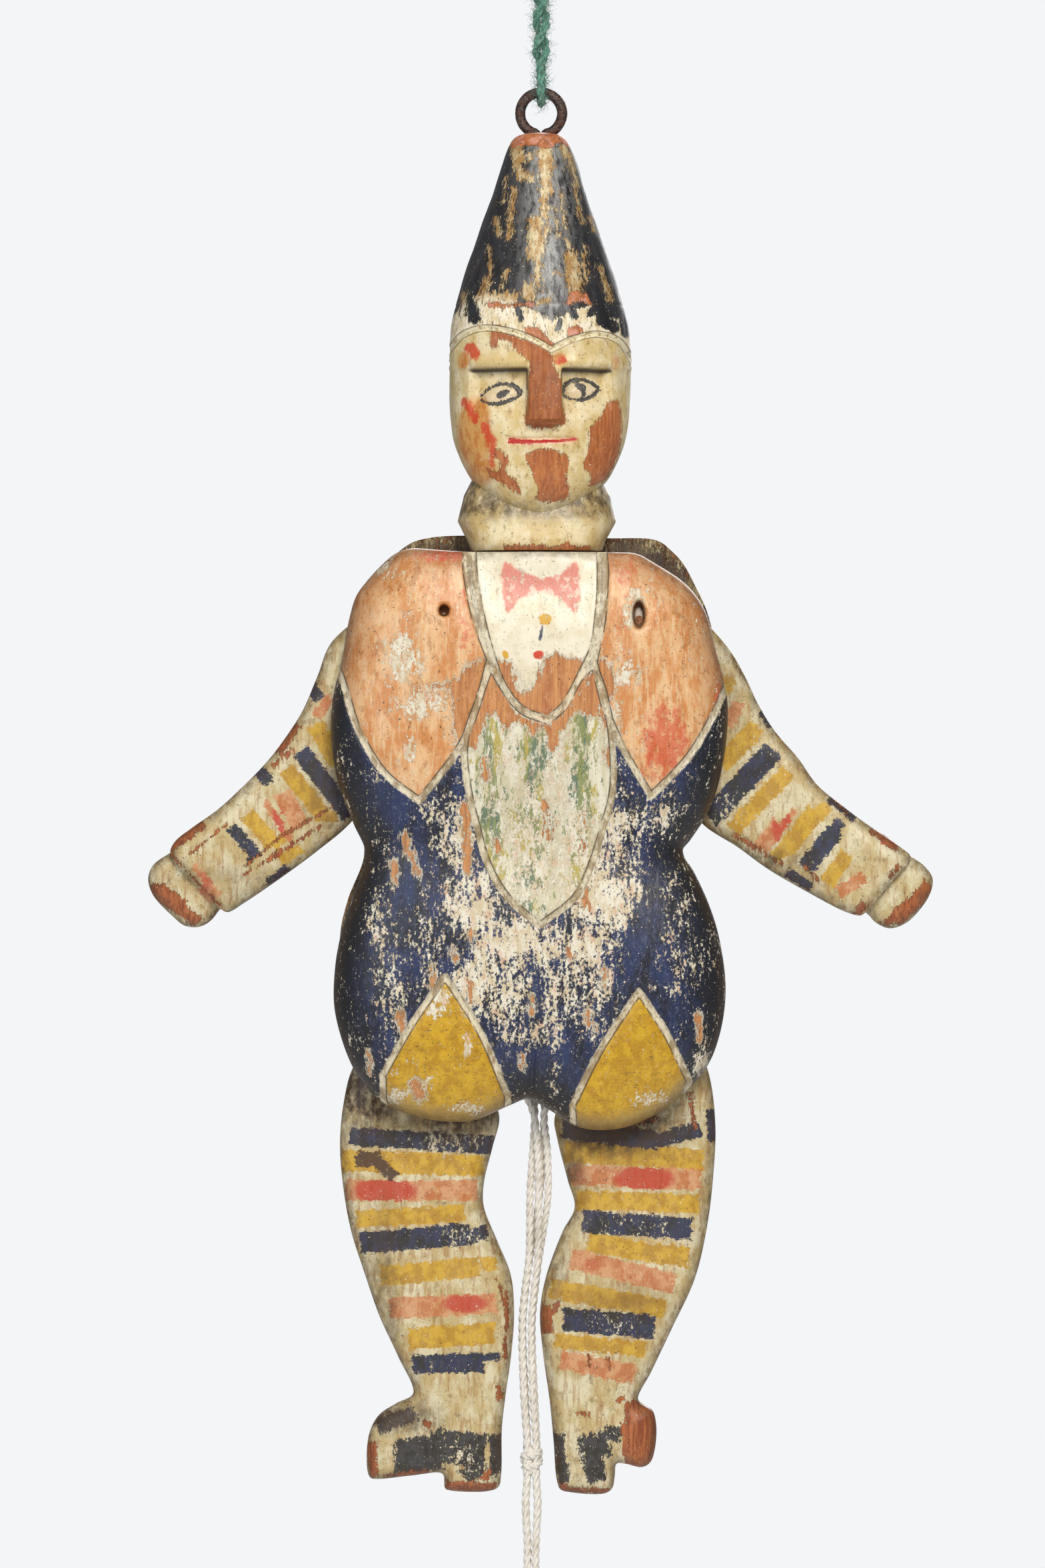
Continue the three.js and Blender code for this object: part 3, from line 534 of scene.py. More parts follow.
ARM_LEFT = [
    (-27.5, -124.5), (-33, -125.1), (-42, -129), (-54.8, -138.6), (-58.8, -148), (-62.5, -156.6),
    (-66.5, -163), (-71.8, -170), (-78.4, -176.8), (-85, -182.8), (-91.5, -187.4), (-96, -191),
    (-97.3, -193.6), (-96.9, -195), (-90, -202.2), (-83.2, -209.3), (-82, -209.6), (-78.4, -207.5),
    (-68, -200.4), (-58.3, -193.2), (-50, -186.1), (-40, -172.2), (-31, -155), (-23.5, -139), (-20.3, -133),
    (-20.4, -129.5), (-23, -126.1),
]
ARM_RIGHT = [
    (27.6, -126.8), (33, -127.4), (40, -130.9), (49, -140.2), (53.4, -147.6), (56.9, -155), (61.1, -161.8),
    (67.2, -168.9), (72.3, -176), (80, -182.4), (87.7, -188), (94.8, -192.9), (96.7, -194.6), (96.6, -196),
    (91, -202.5), (84.6, -210), (83.6, -210.5), (80, -209.6), (69.8, -204.3), (59.5, -198.3),
    (51.8, -192.7), (41.9, -186), (33.1, -172), (27, -157), (21.8, -141), (20.4, -135.3), (20.5, -131.8),
    (23.1, -128.4),
]
HAND_LEFT = [
    (-90, -188.2), (-96.5, -193.4), (-101.9, -197.3), (-103.2, -200.9), (-101.9, -205.2), (-96.8, -210.7),
    (-93.6, -213.2), (-89.8, -213.5), (-86.8, -211.9), (-84.4, -209), (-76, -200.2),
]
HAND_RIGHT = [
    (88, -188.7), (95, -193.6), (100.5, -197.3), (102.8, -200.9), (101.8, -205.5), (97, -211.6),
    (94, -213.4), (91.3, -213.9), (87.9, -212.4), (86, -210.4), (77, -201.2),
]
LEG_LEFT = [
    (-27, -238.6), (-36, -239.7), (-44, -243.7), (-49.4, -250.4), (-51.8, -259.4), (-52.8, -270.7),
    (-51.8, -282.8), (-49.8, -293.5), (-46.9, -302.6), (-42.4, -315.5), (-37.6, -326), (-33.6, -336),
    (-38, -338.6), (-42.6, -341.7), (-45.2, -346.7), (-45.6, -356), (-44.8, -358), (-42.8, -358.3),
    (-34, -357.4), (-26.4, -356.7), (-25.6, -357.4), (-25.2, -360.8), (-24, -361.3), (-14, -361.5),
    (-11.2, -360.4), (-10.5, -357), (-10.3, -345), (-9.3, -336), (-7.9, -326), (-7.1, -314.7), (-8, -304.9),
    (-11.6, -295.8), (-15.1, -286.7), (-15, -280.5), (-12.8, -271.4), (-11, -263.2), (-13.5, -257.6),
    (-18, -251.5), (-18.6, -245), (-22, -240.1),
]
LEG_RIGHT = [
    (25, -233.5), (17.5, -236.6), (16, -241.5), (14, -249.5), (6.4, -257.5), (3.5, -263.9), (4.2, -269),
    (7, -280), (8.8, -287.2), (5.6, -293.6), (1.2, -305.7), (-0.3, -314.8), (0.4, -324.6), (2.2, -337.6),
    (3.3, -349), (4, -358), (5, -361), (7.8, -361.8), (16.6, -362.1), (18.6, -360.8), (19.3, -357.6),
    (19.8, -354.3), (22, -354.3), (26.4, -355.2), (28.6, -354), (29.8, -350.6), (30.2, -344.2),
    (29.2, -340.4), (26.8, -338.8), (25.4, -337.4), (29, -329.9), (34.4, -318.5), (40.3, -305.7),
    (43.4, -292.8), (45, -280.5), (45.7, -265), (43.5, -250.3), (38, -240.1), (32, -234.9),
]

# Stripes and patches of colour: each a stroke from one place to another, with half its width
ARM_STROKES = {
    "arm_left": {
        "ochre": [
            (-58.8, -161.1, -53.7, -170.1, 2.1), (-66.3, -172.7, -57.2, -184.2, 2.0),
            (-57.5, -184, -54, -184.6, 1.4), (-76.6, -184.4, -70.5, -191.4, 1.9),
            (-69.6, -192, -67.9, -190.4, 1.0), (-68, -195.8, -63.6, -193.2, 1.3),
        ],
        "navy": [
            (-62.6, -167.9, -50.6, -183.9, 2.1), (-80.6, -188, -75.6, -193.6, 1.4),
            (-76.5, -195.9, -74.2, -194.4, 0.5), (-76, -170.5, -71.5, -175, 1.5),
            (-61, -149.5, -58.6, -153, 1.4), (-71, -201.2, -67, -198.4, 0.8),
        ],
        "red": [
            (-72, -181.2, -66.2, -190, 0.7), (-90.4, -198, -84.8, -204.8, 0.8),
            (-58.5, -157.5, -55.5, -154, 1.2), (-67.5, -179, -63.5, -186.5, 2.2),
            (-88.5, -203, -86, -205.5, 1.6),
        ],
    },
    "arm_right": {
        "ochre": [
            (49.4, -148.8, 48, -151.6, 1.5), (56, -161.6, 47.6, -170.4, 2.3),
            (64.2, -173.4, 50.6, -187.3, 2.0), (71.6, -183.6, 64.6, -192.6, 2.3),
            (74.6, -181.9, 72.6, -184.2, 1.6), (64, -193, 61.6, -194.6, 1.6),
            (79.8, -195, 75.2, -201.2, 1.9),
        ],
        "navy": [
            (60.4, -167.6, 44.4, -184.6, 2.7), (76.6, -188.8, 69.6, -197.4, 2.2),
            (78, -186.2, 76.6, -188.4, 1.2), (76, -180, 81.6, -184.6, 1.0), (57.8, -157.4, 60, -160.4, 0.8),
            (65, -199.6, 70.4, -202.6, 1.1),
        ],
        "red": [
            (66, -183.2, 60.4, -191.4, 0.6), (62, -187, 58, -192.4, 2.0), (84, -200.6, 78.6, -204, 1.4),
            (88.6, -189.4, 92.6, -192.4, 0.9), (51.5, -155.5, 49, -160, 1.5),
        ],
    },
}
LEG_STROKES = {
    "leg_left": {
        "navy": [
            (-49.4, -268.2, -13, -270.6, 2.2), (-46.8, -296.2, -19, -293.9, 2.6),
            (-19, -294.2, -15, -293.6, 1.6), (-33, -328, -16, -327.4, 2.4), (-17, -326.4, -11.6, -326, 0.9),
        ],
        "ochre": [
            (-51.6, -274.6, -16, -276, 2.6), (-47.6, -290, -21, -288.4, 2.1),
            (-41.2, -304.8, -17, -302.4, 2.4), (-15, -301.8, -12.4, -301.6, 1.5),
            (-34, -321.2, -13, -319.8, 2.6),
        ],
        "red": [(-50.6, -282.4, -17.6, -282.4, 2.5), (-39, -313.2, -12.4, -311.9, 2.5)],
        "black": [
            (-37.6, -352, -27, -351, 4.6), (-25, -349.5, -15.5, -350.5, 4.2), (-19, -355, -17, -357, 2.2),
            (-12, -347, -11.6, -356, 1.8), (-42.6, -344.4, -34, -341, 2.0), (-27.6, -346, -25, -353, 2.0),
        ],
        "brown": [(-48, -274.2, -43, -274.2, 1.8), (-43, -275, -39, -278.4, 1.4)],
    },
    "leg_right": {
        "navy": [
            (6.4, -266.2, 30, -269.4, 2.4), (30, -269.4, 41, -266.4, 1.8),
            (11.6, -290.6, 38.6, -292.4, 2.7), (6.4, -316, 28.8, -318.2, 2.9), (44.8, -262, 45, -269, 1.2),
        ],
        "ochre": [
            (7, -272.4, 41.6, -274.4, 2.7), (9.8, -285, 40.6, -286, 2.3), (13, -296.2, 38, -300, 2.4),
            (3.2, -308.2, 31.6, -313.2, 2.4), (4.2, -321.8, 26.6, -323.8, 1.8),
        ],
        "red": [
            (8.4, -278.4, 41, -279.6, 2.5), (8.4, -300.4, 34, -306.6, 2.5), (5.8, -327, 23.8, -330.4, 2.3),
        ],
        "black": [
            (10.5, -350.5, 17.4, -349, 3.4), (12, -355.6, 15.6, -354.6, 3.6), (4.4, -347, 5.6, -358.6, 1.5),
            (17.6, -345.8, 20, -346.4, 1.6),
        ],
    },
}
# Where the limbs' paint has gone down to the wood: strokes with half their width
LIMB_BARE = {
    "arm_left": [
        (-97.3, -192.4, -89, -186.4, 1.6), (-68.8, -167.6, -64.4, -160.6, 1.3),
        (-94.6, -196.4, -82.4, -186.6, 0.45), (-77.4, -197.4, -69, -190.4, 0.6),
        (-69, -190.4, -54.2, -181.6, 0.6), (-78.2, -200, -66.6, -192.4, 0.55),
        (-97, -194.6, -84.6, -207.4, 0.5), (-102.2, -203, -90.4, -212.2, 1.9),
        (-71.6, -196, -57.8, -187, 0.7), (-70, -171, -65.2, -167, 0.7), (-94, -207.4, -99.4, -203.2, 1.3),
    ],
    "arm_right": [
        (86.6, -188.4, 93.2, -192.8, 1.0), (93.6, -197.6, 91.2, -200.6, 0.9),
        (101.6, -202.6, 93.4, -212, 1.9), (84.6, -207.4, 83, -210, 1.2), (66.4, -194.6, 72.6, -201.4, 0.5),
        (50.8, -189.4, 63, -197, 0.8), (76, -178.8, 80, -183.6, 0.5), (97, -206.4, 90.6, -212.6, 1.1),
    ],
    "leg_left": [
        (-45, -349, -43.8, -357.4, 1.6), (-41, -357.4, -30, -356.6, 0.9),
        (-24.6, -359.8, -12.4, -360.6, 1.5), (-30.6, -343.4, -29.4, -344, 1.0),
        (-11.2, -334, -10.6, -337, 0.8), (-9, -309, -9.6, -326, 0.7), (-12.6, -303, -9.6, -312, 0.45),
        (-13.4, -356, -15, -358, 1.0), (-51.6, -283, -50.4, -292, 0.4),
    ],
    "leg_right": [
        (26.4, -338.4, 26.2, -356, 4.5), (22, -344, 22.2, -352, 1.2), (0.6, -313.4, 1.2, -319.4, 2.0),
        (4.2, -311.6, 3.4, -314.6, 0.9), (6, -361, 17.6, -361.4, 1.1), (38.6, -257, 40.6, -266, 0.7),
        (25, -264.6, 29.6, -263.4, 1.2), (9.6, -340.6, 12.6, -341, 0.8), (19.6, -337.6, 21.4, -336.8, 0.7),
        (12.4, -325.6, 12.8, -328, 0.5), (17.6, -326.6, 18, -329.6, 0.6),
    ],
}
# Where it has gone to the white ground; and dark spots of dirt with painted shade, strongest where the limbs
# come out from under the front board: soft spots, as on the front
LIMB_CHALK = {
    "arm_left": [(-96, -203, 8, 8, 0.35), (-72, -184, 10, 9, 0.3)],
    "arm_right": [(93, -205, 8, 8, 0.35), (50, -183, 8, 5, 0.6), (60, -163, 7, 7, 0.35)],
    "leg_left": [
        (-24, -270, 10, 4, 0.6), (-20, -296, 6, 5, 0.5), (-21, -353, 5, 6, 0.45), (-38, -345, 6, 4, 0.4),
    ],
    "leg_right": [
        (32, -263, 11, 4, 0.85), (24, -292, 12, 4, 0.4), (20, -318, 8, 4, 0.35), (9, -352, 3, 8, 0.55),
    ],
}
# Dirt and painted shade: darkest at the tops of the thighs under the front board, and along the limbs' edges
LIMB_GRIME_AND_SHADE = {
    "arm_left": [(-55, -180, 8, 14, 0.4), (-80, -200, 18, 3, 0.3), (-72, -206, 14, 8, 0.35)],
    "arm_right": [(58, -199, 14, 7, 0.7), (46, -150, 6, 12, 0.35)],
    "leg_left": [
        (-46, -257, 14, 12, 1.0), (-22, -262, 16, 8, 1.0), (-40, -342, 9, 4, 0.9), (-41, -312, 4, 26, 0.6),
        (-34, -342, 8, 5, 0.7),
    ],
    "leg_right": [
        (18, -265, 18, 9, 1.1), (8, -278, 4, 14, 0.7), (3, -302, 4, 10, 0.6), (22, -312, 12, 5, 0.35),
    ],
}
# Where the red is still strong
LIMB_VIVID = {
    "arm_left": [(-69, -186, 2, 5, 1), (-88, -201.5, 3, 5, 0.6)],
    "arm_right": [(63, -187, 3, 6, 1), (90.6, -191, 3, 3, 1)],
    "leg_left": [(-41, -282.5, 9, 4, 1.1), (-20, -312, 7, 3, 0.9)],
    "leg_right": [(27, -279.4, 9, 4, 1), (14, -302, 5, 3, 0.5)],
}
# The sleeve's end, cut square and proud of the hand
CUFFS = {"arm_left": [(-97.4, -194.4), (-82.4, -209.8)], "arm_right": [(96.8, -195.4), (83.8, -210.6)]}
CUFF_LAP = 0.9
CALF_SWELL = 1.3
PAINTS = ("navy", "ochre", "red", "black", "brown")
SKIN = 0.05  # how far a limb's worn surface lies inside the sawn one
ARM_ROUNDING, LEG_ROUNDING = 3.2, 4.2
MITT_HALF, MITT_ROUNDING, MITT_CARVED = 4.9, 3.6, 1.4
# A tab's reach to its hole, its rise in degrees, its end's radius, half its thickness, the hole's radius
ARM_TAB = (9, 35, 4.2, 1.95, 2.1)
LEG_TAB = (14.2, 22.5, 4.1, 1.95, 1.9)


def stroke_depth(p, strokes, square=False):
    """Signed distance to the nearest of some straight strokes, with round or square ends: positive inside."""
    if not strokes:
        return np.full(len(p), -50.0)
    best = np.full(len(p), -np.inf)
    for x1, z1, x2, z2, half in strokes:
        a, ab = np.array([x1, z1]), np.array([x2 - x1, z2 - z1])
        t = ((p - a) @ ab) / (ab @ ab)
        if square:
            off = half - np.linalg.norm(p - a - t[:, None] * ab, axis=1)
            best = np.maximum(best, np.minimum(off, np.minimum(t, 1 - t) * np.linalg.norm(ab) + 0.6))
        else:
            t = np.clip(t, 0, 1)
            best = np.maximum(best, half - np.linalg.norm(p - a - t[:, None] * ab, axis=1))
    return best


def limb_faces(board, half, rounding, seed, cuff=None, carved=0.0):
    """Y of a limb's two faces: rounded edges, flattish middle, and the marks of the knife."""
    p = board.flat
    from_side = board.edge
    if cuff is not None:
        a, b = np.array(cuff)
        across = np.array([b[1] - a[1], a[0] - b[0]]) / np.linalg.norm(b - a)
        to_cuff = np.abs((p - a) @ across)
        sides = board.rim[np.abs((board.rim - a) @ across) > CUFF_LAP]
        clear = np.min([np.linalg.norm(p - q, axis=1) for q in sides], axis=0) - CUFF_LAP
        from_side = np.where(to_cuff < 8, np.maximum(clear, board.edge), board.edge)
    body = half - rounding + rounding * quarter_round(from_side, rounding * 1.7)
    if cuff is not None:
        body -= 0.7 * (1 - quarter_round(to_cuff, 1.2))
    knife = 0.16 * noise(p, (5, 9), seed) + 0.05 * noise(p, (1.0, 3.2), seed + 1)
    knife += 0.03 * noise(p, 0.8, seed + 2)
    worn = np.clip(board.edge / 2, 0, 1)
    front = -(body - carved + (knife - 0.1) * worn)
    back = body + (0.14 * noise(p, (6, 9), seed + 3) - 0.14) * worn
    return front, back


def limb_attributes(board, name, strokes, verts):
    p = board.flat
    values = {key: stroke_depth(p, strokes.get(key, []), True) for key in PAINTS}
    values["bare"] = stroke_depth(p, LIMB_BARE[name], True)
    values["vivid"] = blobs(p, LIMB_VIVID[name])
    values["chalk"] = blobs(p, LIMB_CHALK[name])
    values["grime"] = blobs(p, LIMB_GRIME_AND_SHADE[name])
    values["rim"] = board.edge
    return {key: board.spread(value, verts) for key, value in values.items()}


def tab_mesh(name, reach, rise, end, half, bore):
    """The thinned tab: a capsule from the pivot to the string hole, with the hole left open."""
    side = 1 if name.endswith("left") else -1
    angle = math.radians(rise)
    pivot = PIVOTS[name]
    hole = pivot + reach * np.array([side * math.cos(angle), math.sin(angle)])

    def around(a):
        return np.column_stack([np.cos(a), np.sin(a)])

    along = math.atan2(hole[1] - pivot[1], hole[0] - pivot[0])
    turn = np.linspace(-math.pi / 2, math.pi / 2, 26)
    ends = [(hole, along), (pivot, along + math.pi)]
    rim = np.vstack([at + end * around(turn + way) for at, way in ends])
    angle = np.arctan2(rim[:, 1] - hole[1], rim[:, 0] - hole[0])
    inner = hole + bore * around(angle)
    count = len(rim)
    rings = [(inner, -half), (rim, -half + 0.4), (rim, half - 0.4), (inner, half)]
    verts = np.vstack([np.column_stack([r[:, 0], np.full(count, y), r[:, 1]]) for r, y in rings])
    faces = []
    for k in range(4):
        for i in range(count):
            j = (i + 1) % count
            a, b = k * count, (k + 1) % 4 * count
            faces.append((a + i, a + j, b + j, b + i))
    return verts, [tuple(reversed(f)) for f in faces]


def merged(*parts):
    verts, faces, offset = [], [], 0
    for part_verts, part_faces in parts:
        verts.append(part_verts)
        faces += [tuple(i + offset for i in f) for f in part_faces]
        offset += len(part_verts)
    return np.vstack(verts), faces


def limb(name, slot, outline, rounding, strokes, seed, material, tab, hand=None, swell=None):
    board = Board(loop(outline, 0.55), LIMB_SPACING)
    thick = LIMB_HALF - SKIN + (swell(board.flat) if swell is not None else 0)
    front, back = limb_faces(board, thick, rounding, seed, CUFFS.get(name))
    verts, faces = board.solid(front, back)
    attributes = limb_attributes(board, name, strokes, verts)
    pieces = [(verts, faces)]
    if hand is not None:
        mitt = Board(loop(hand, 0.55), LIMB_SPACING)
        mitt_front, mitt_back = limb_faces(mitt, MITT_HALF, MITT_ROUNDING, seed + 20, None, MITT_CARVED)
        mitt_solid = mitt.solid(mitt_front, mitt_back)
        mitt_values = limb_attributes(mitt, name, strokes, mitt_solid[0])
        pieces.append(mitt_solid)
        attributes = {key: np.concatenate([attributes[key], mitt_values[key]]) for key in attributes}
    pieces.append(tab_mesh(name, *tab))
    for key in attributes:
        on_tab = UNPAINTED_TAB.get(key, -50.0)
        attributes[key] = np.concatenate([attributes[key], np.full(len(pieces[-1][0]), on_tab)])
    verts, faces = merged(*pieces)
    return make_piece(name + "_carved", name, slot, [name], verts, faces, material, attributes)


UNPAINTED_TAB = {"bare": 3.0, "chalk": 0.0, "grime": 0.0, "vivid": 0.0}


def calf(p):
    return CALF_SWELL * bump(p[:, 1], -315, 15) * step_up(-p[:, 1], 286, 292)


def limbs():
    arm_material, leg_material = striped_paint("arm_paint", 42), striped_paint("leg_paint", 4)
    arms = (("arm_left", ARM_LEFT, HAND_LEFT, 30), ("arm_right", ARM_RIGHT, HAND_RIGHT, 60))
    for name, outline, hand, seed in arms:
        strokes = ARM_STROKES[name]
        limb(name, "arm_paint", outline, ARM_ROUNDING, strokes, seed, arm_material, ARM_TAB, hand=hand)
    for name, outline, seed in (("leg_left", LEG_LEFT, 90), ("leg_right", LEG_RIGHT, 120)):
        strokes = LEG_STROKES[name]
        limb(name, "leg_paint", outline, LEG_ROUNDING, strokes, seed, leg_material, LEG_TAB, swell=calf)


# The head: a turned cone hat over a flattened face, on a faceted neck

# Height, half width, reach to the front and to the back, of the head's level sections
HEAD_SECTIONS = [
    (-106.5, 2.4, 12, -4), (-105.6, 5.2, 14, 1), (-102.7, 10.7, 16.6, 6), (-99.4, 14.9, 18, 10.5),
    (-95, 18.7, 19.2, 15), (-88, 21.9, 19.8, 18.6), (-81.9, 23.3, 19.9, 19.8), (-75, 23.8, 19.9, 20.3),
    (-67.2, 23.8, 20.7, 20.5), (-62, 23.7, 20.8, 20.5), (-56, 23.2, 20.6, 20.3), (-49.2, 21.7, 19.9, 19.6),
    (-42.5, 19.7, 18.4, 18.2), (-34, 16.8, 16.1, 16.1), (-23.4, 13, 12.7, 12.7), (-11.6, 9.3, 9.2, 9.2),
    (-8.2, 7.8, 7.7, 7.7), (-6.6, 6.7, 6.6, 6.6), (-5.6, 5.2, 5.1, 5.1), (-5.2, 3, 3, 3),
]
NECK_SECTIONS = [
    (-115, 17.1, 16.4, 14), (-112.3, 18, 16.4, 14), (-107.2, 20.7, 15.5, 13.6), (-100.3, 19.1, 13, 12.5),
    (-90.4, 14, 10, 11),
]
HEAD_AXIS, NECK_AXIS = -0.4, -1.1
NOSE_X, NOSE_TOP, NOSE_TIP = 1.0, -67.0, -81.4
HAIRLINE = [
    (-40, -67), (-25, -63), (-20.5, -58.8), (-15, -57.2), (-8, -58.2), (-2, -60.4), (2.6, -62.9),
    (2.6, -62.9), (8, -60.3), (14.5, -58.8), (20, -60.2), (24.5, -65), (40, -67.5),
]
EYES = {
    "left": [
        (-16.9, -74.5), (-16.9, -74.5), (-14.6, -72.6), (-11.2, -71.7), (-7.8, -72.4), (-5.8, -73.8),
        (-5.8, -73.8), (-8, -75.9), (-11.8, -76.9), (-15, -76.5),
    ],
    "right": [
        (6, -74), (6, -74), (8, -71.7), (11.3, -70.4), (14.6, -71.3), (17, -72.9), (17, -72.9),
        (14.4, -74.9), (11, -75.9), (7.7, -75.5),
    ],
}
LID_LINES = [
    ([(-17, -74.6), (-15.4, -73), (-12.6, -71.9), (-9.6, -71.8), (-7.4, -72.5), (-5.8, -73.7)], 0.46),
    ([(-9.4, -71.9), (-7.4, -72.7), (-6, -74.2)], 0.62),
    ([(-16.6, -75.9), (-14.4, -76.8), (-11.6, -76.9), (-8.8, -76.1), (-6.2, -74.9)], 0.4),
    ([(5.8, -74.2), (7, -72.4), (9, -71), (11.4, -70.5), (14.4, -71.1), (16.8, -72.7)], 0.5),
    ([(6.2, -73.6), (7.4, -71.9), (9, -70.9)], 0.62),
    ([(6.2, -74.8), (8.2, -75.6), (11, -75.9), (14, -75.1), (16.8, -73.2)], 0.42),
]
# Painted shadow: dark lines under the brow ledges and down the sockets' corners beside the nose, strokes with
# half their width
LEDGE_SHADOWS = [
    (-18.6, -68.2, -4.2, -68.1, 0.34), (6, -68.1, 18.4, -68.3, 0.34), (-4.1, -68.4, -3.9, -73, 0.26),
    (5.6, -68.4, 5.7, -72, 0.2),
]
PUPILS = [(-11.4, -74.6, -9.7, -73.9, 0.82), (10.8, -72.2, 11.9, -72.8, 1.0), (11.7, -73, 11.9, -74.4, 0.6)]
MOUTH = [(-8.1, -86.6, -3, -87, 0.62), (-3, -87, 4.5, -86.7, 0.5), (4.5, -86.7, 8.8, -86.2, 0.45)]
FACE_RED = [
    (-18.7, -62.2, -17.5, -64, 1.5), (-20.2, -76, -17.2, -81, 0.9), (-14.9, -82.8, -12.8, -86.6, 1.05),
    (-12.8, -86.6, -12.8, -90.4, 0.9), (-12.9, -91.4, -12.7, -93, 0.5), (4.6, -66, 5.8, -65.6, 0.8),
]


def drawn(points, half):
    """Strokes that follow a smooth line through points."""
    line = smooth(points, 0.5, False)
    return [(*a, *b, half) for a, b in zip(line, line[1:])]


FACE_BLUSH = [
    (-17.4, -84, 4.4, 9.5, 1.2), (-20.4, -65.4, 1.6, 2.6, 0.9), (-15.5, -94, 5, 5, 0.7),
    (19.5, -66, 1.8, 3, 0.5), (4.8, -65.4, 2.4, 1.8, 0.8),
]
FACE_BARE = {
    "brow": [
        (-13.4, -59), (-13.3, -62.4), (-11.8, -62.4), (-11.2, -60.4), (-8.2, -61.1), (-6.1, -63.9),
        (-3.5, -66.2), (-3.7, -70), (-3.9, -76), (-4, -82.4), (6, -82.4), (5.6, -76), (5, -69.5),
        (3.2, -66.8), (3.4, -64.8), (2, -63.2), (3.4, -61.7), (1.6, -59.8), (-0.4, -57.4), (-4.4, -57),
        (-4, -60), (-7.4, -59.2), (-9.6, -56.8), (-13, -56.6),
    ],
    "cheek": [
        (15, -80.8), (17, -77.6), (19.6, -75.4), (20.9, -77.8), (20.7, -86), (19.2, -92), (16.6, -96.6),
        (12.3, -98.3), (12.8, -95.9), (10.8, -93.2), (12.2, -87.7), (12.4, -83),
    ],
    "chin": [
        (-4.1, -90.6), (-1.6, -89), (4.6, -89.1), (6.8, -90.8), (6.8, -97), (7.6, -99), (6.2, -101.9),
        (1, -102.8), (-1.4, -102.2), (-1, -99.3), (-2.7, -95),
    ],
    "jaw": [
        (-12.9, -89.8), (-11.2, -88.6), (-9.2, -89.9), (-8.4, -91.8), (-9, -94.8), (-6, -97.3),
        (-5.6, -100.2), (-9.4, -98.3), (-13.2, -96.2), (-14.4, -93.5), (-11.2, -94.3), (-11, -92),
    ],
    "band_left": [(-14.5, -50.4), (-14, -51.6), (-7, -51.9), (-1.5, -51.4), (-2, -50.6), (-8, -50.8)],
    "band_right": [(7.6, -47.6), (12.4, -48.6), (13.4, -51.6), (10, -50.4), (6.4, -51.6)],
    "right_hair": [(6.6, -57.6), (10.2, -56.6), (10.8, -58.2), (7, -59.6)],
}
# Black paint rubbed off the hat to its cream ground, and black left on the cream band below it: strokes
HAT_WORN = [
    (0.8, -9.6, 1.4, -15, 2.1), (-5.9, -9, -5.6, -12, 1.3), (5.8, -9, 6.6, -11.4, 1.1),
    (0.7, -16, 1.6, -21, 1.7), (0.6, -21, 0.9, -28, 1.2), (-1.4, -29.6, -1.6, -38, 2.3),
    (1.6, -31, -0.2, -37, 1), (-1, -38, -0.8, -46, 1.1), (-3.4, -47, -3, -49, 1.9),
    (-6.8, -9.6, -5.4, -17, 1.4), (-9.1, -17, -9.8, -24, 0.4), (-7.2, -20.2, -8.4, -33.4, 0.95),
    (-11.8, -28.4, -10.9, -32.4, 0.8), (-5.2, -13, -3.2, -11.6, 1), (-4.4, -17, -2.6, -17.4, 1.2),
    (7.2, -10.6, 9.4, -19, 0.7), (8.6, -19, 10.8, -29, 0.6), (6.6, -34, 7.2, -36.6, 0.7),
    (11.4, -35.4, 11.6, -37.2, 0.4), (7.8, -38.6, 8.8, -48, 2), (10.6, -37.8, 11.6, -45, 0.6),
    (15.4, -41.4, 18, -49.4, 0.8), (-14, -44.4, -15.6, -51, 1.2), (-9.2, -42.2, -10, -46.6, 0.8),
    (-15.4, -49.6, -8, -49.6, 2), (-1, -50.6, 2, -50, 0.8), (2.4, -43, 6, -43.2, 0.18),
    (0.4, -47.8, 2.4, -46.4, 0.16), (5.2, -22, 6.4, -31, 0.5), (-13.6, -36, -13.2, -43, 0.5),
    (3.6, -26, 4.4, -33, 0.45), (-20, -48, -20.8, -55, 0.8), (13, -27.6, 14, -31, 0.5),
]
HAT_LEFT_ON_BAND = [
    (-20.6, -47, -20.4, -53, 1.2), (-18.4, -47, -17.4, -54.4, 1.7), (-6.8, -51, -5.2, -55, 0.7),
    (2.4, -51.4, 7.2, -50.8, 1.6), (8, -52.4, 8.6, -54.4, 0.9), (4.9, -55.4, 4.3, -57.4, 0.6),
    (15.4, -52.4, 19, -52.8, 1.9), (16, -55, 18.6, -56.6, 1.7), (21, -50, 22.2, -58, 1.2),
    (14, -51.4, 12.6, -53.6, 0.8),
]


def level_sections(sections, step, sharp=False):
    """Sections resampled at even heights, by a smooth curve or by straight lines between them."""
    rows = np.array(sections)
    fine = rows if sharp else smooth(rows, 0.5, False)
    heights = np.arange(rows[0, 0], rows[-1, 0], step)
    heights = np.append(heights, rows[-1, 0])
    order = np.argsort(fine[:, 0])
    columns = [np.interp(heights, fine[order, 0], fine[order, k]) for k in (1, 2, 3)]
    return np.column_stack([heights] + columns)


def turned(rows, axis, power, turn):
    """Points of a loft: each row's superellipse, at the given turns (0 faces the front)."""
    z, wide, fore, aft = (rows[:, k][:, None] for k in range(4))
    n = power(rows[:, 0])[:, None]
    s, c = np.sin(turn)[None], np.cos(turn)[None]
    x = axis + wide * np.sign(s) * np.abs(s) ** (2 / n)
    reach = np.abs(c) ** (2 / n)
    centre, half = (aft - fore) / 2, (aft + fore) / 2
    y = centre - half * np.sign(c) * reach
    return np.stack([x, y, np.broadcast_to(z, x.shape)], axis=2)


def tube_faces(rings, around):
    faces = []
    for r in range(rings - 1):
        for i in range(around):
            j = (i + 1) % around
            a, b = r * around, (r + 1) * around
            faces.append((a + i, a + j, b + j, b + i))
    faces.append(tuple(reversed(range(around))))
    faces.append(tuple(range((rings - 1) * around, rings * around)))
    return faces


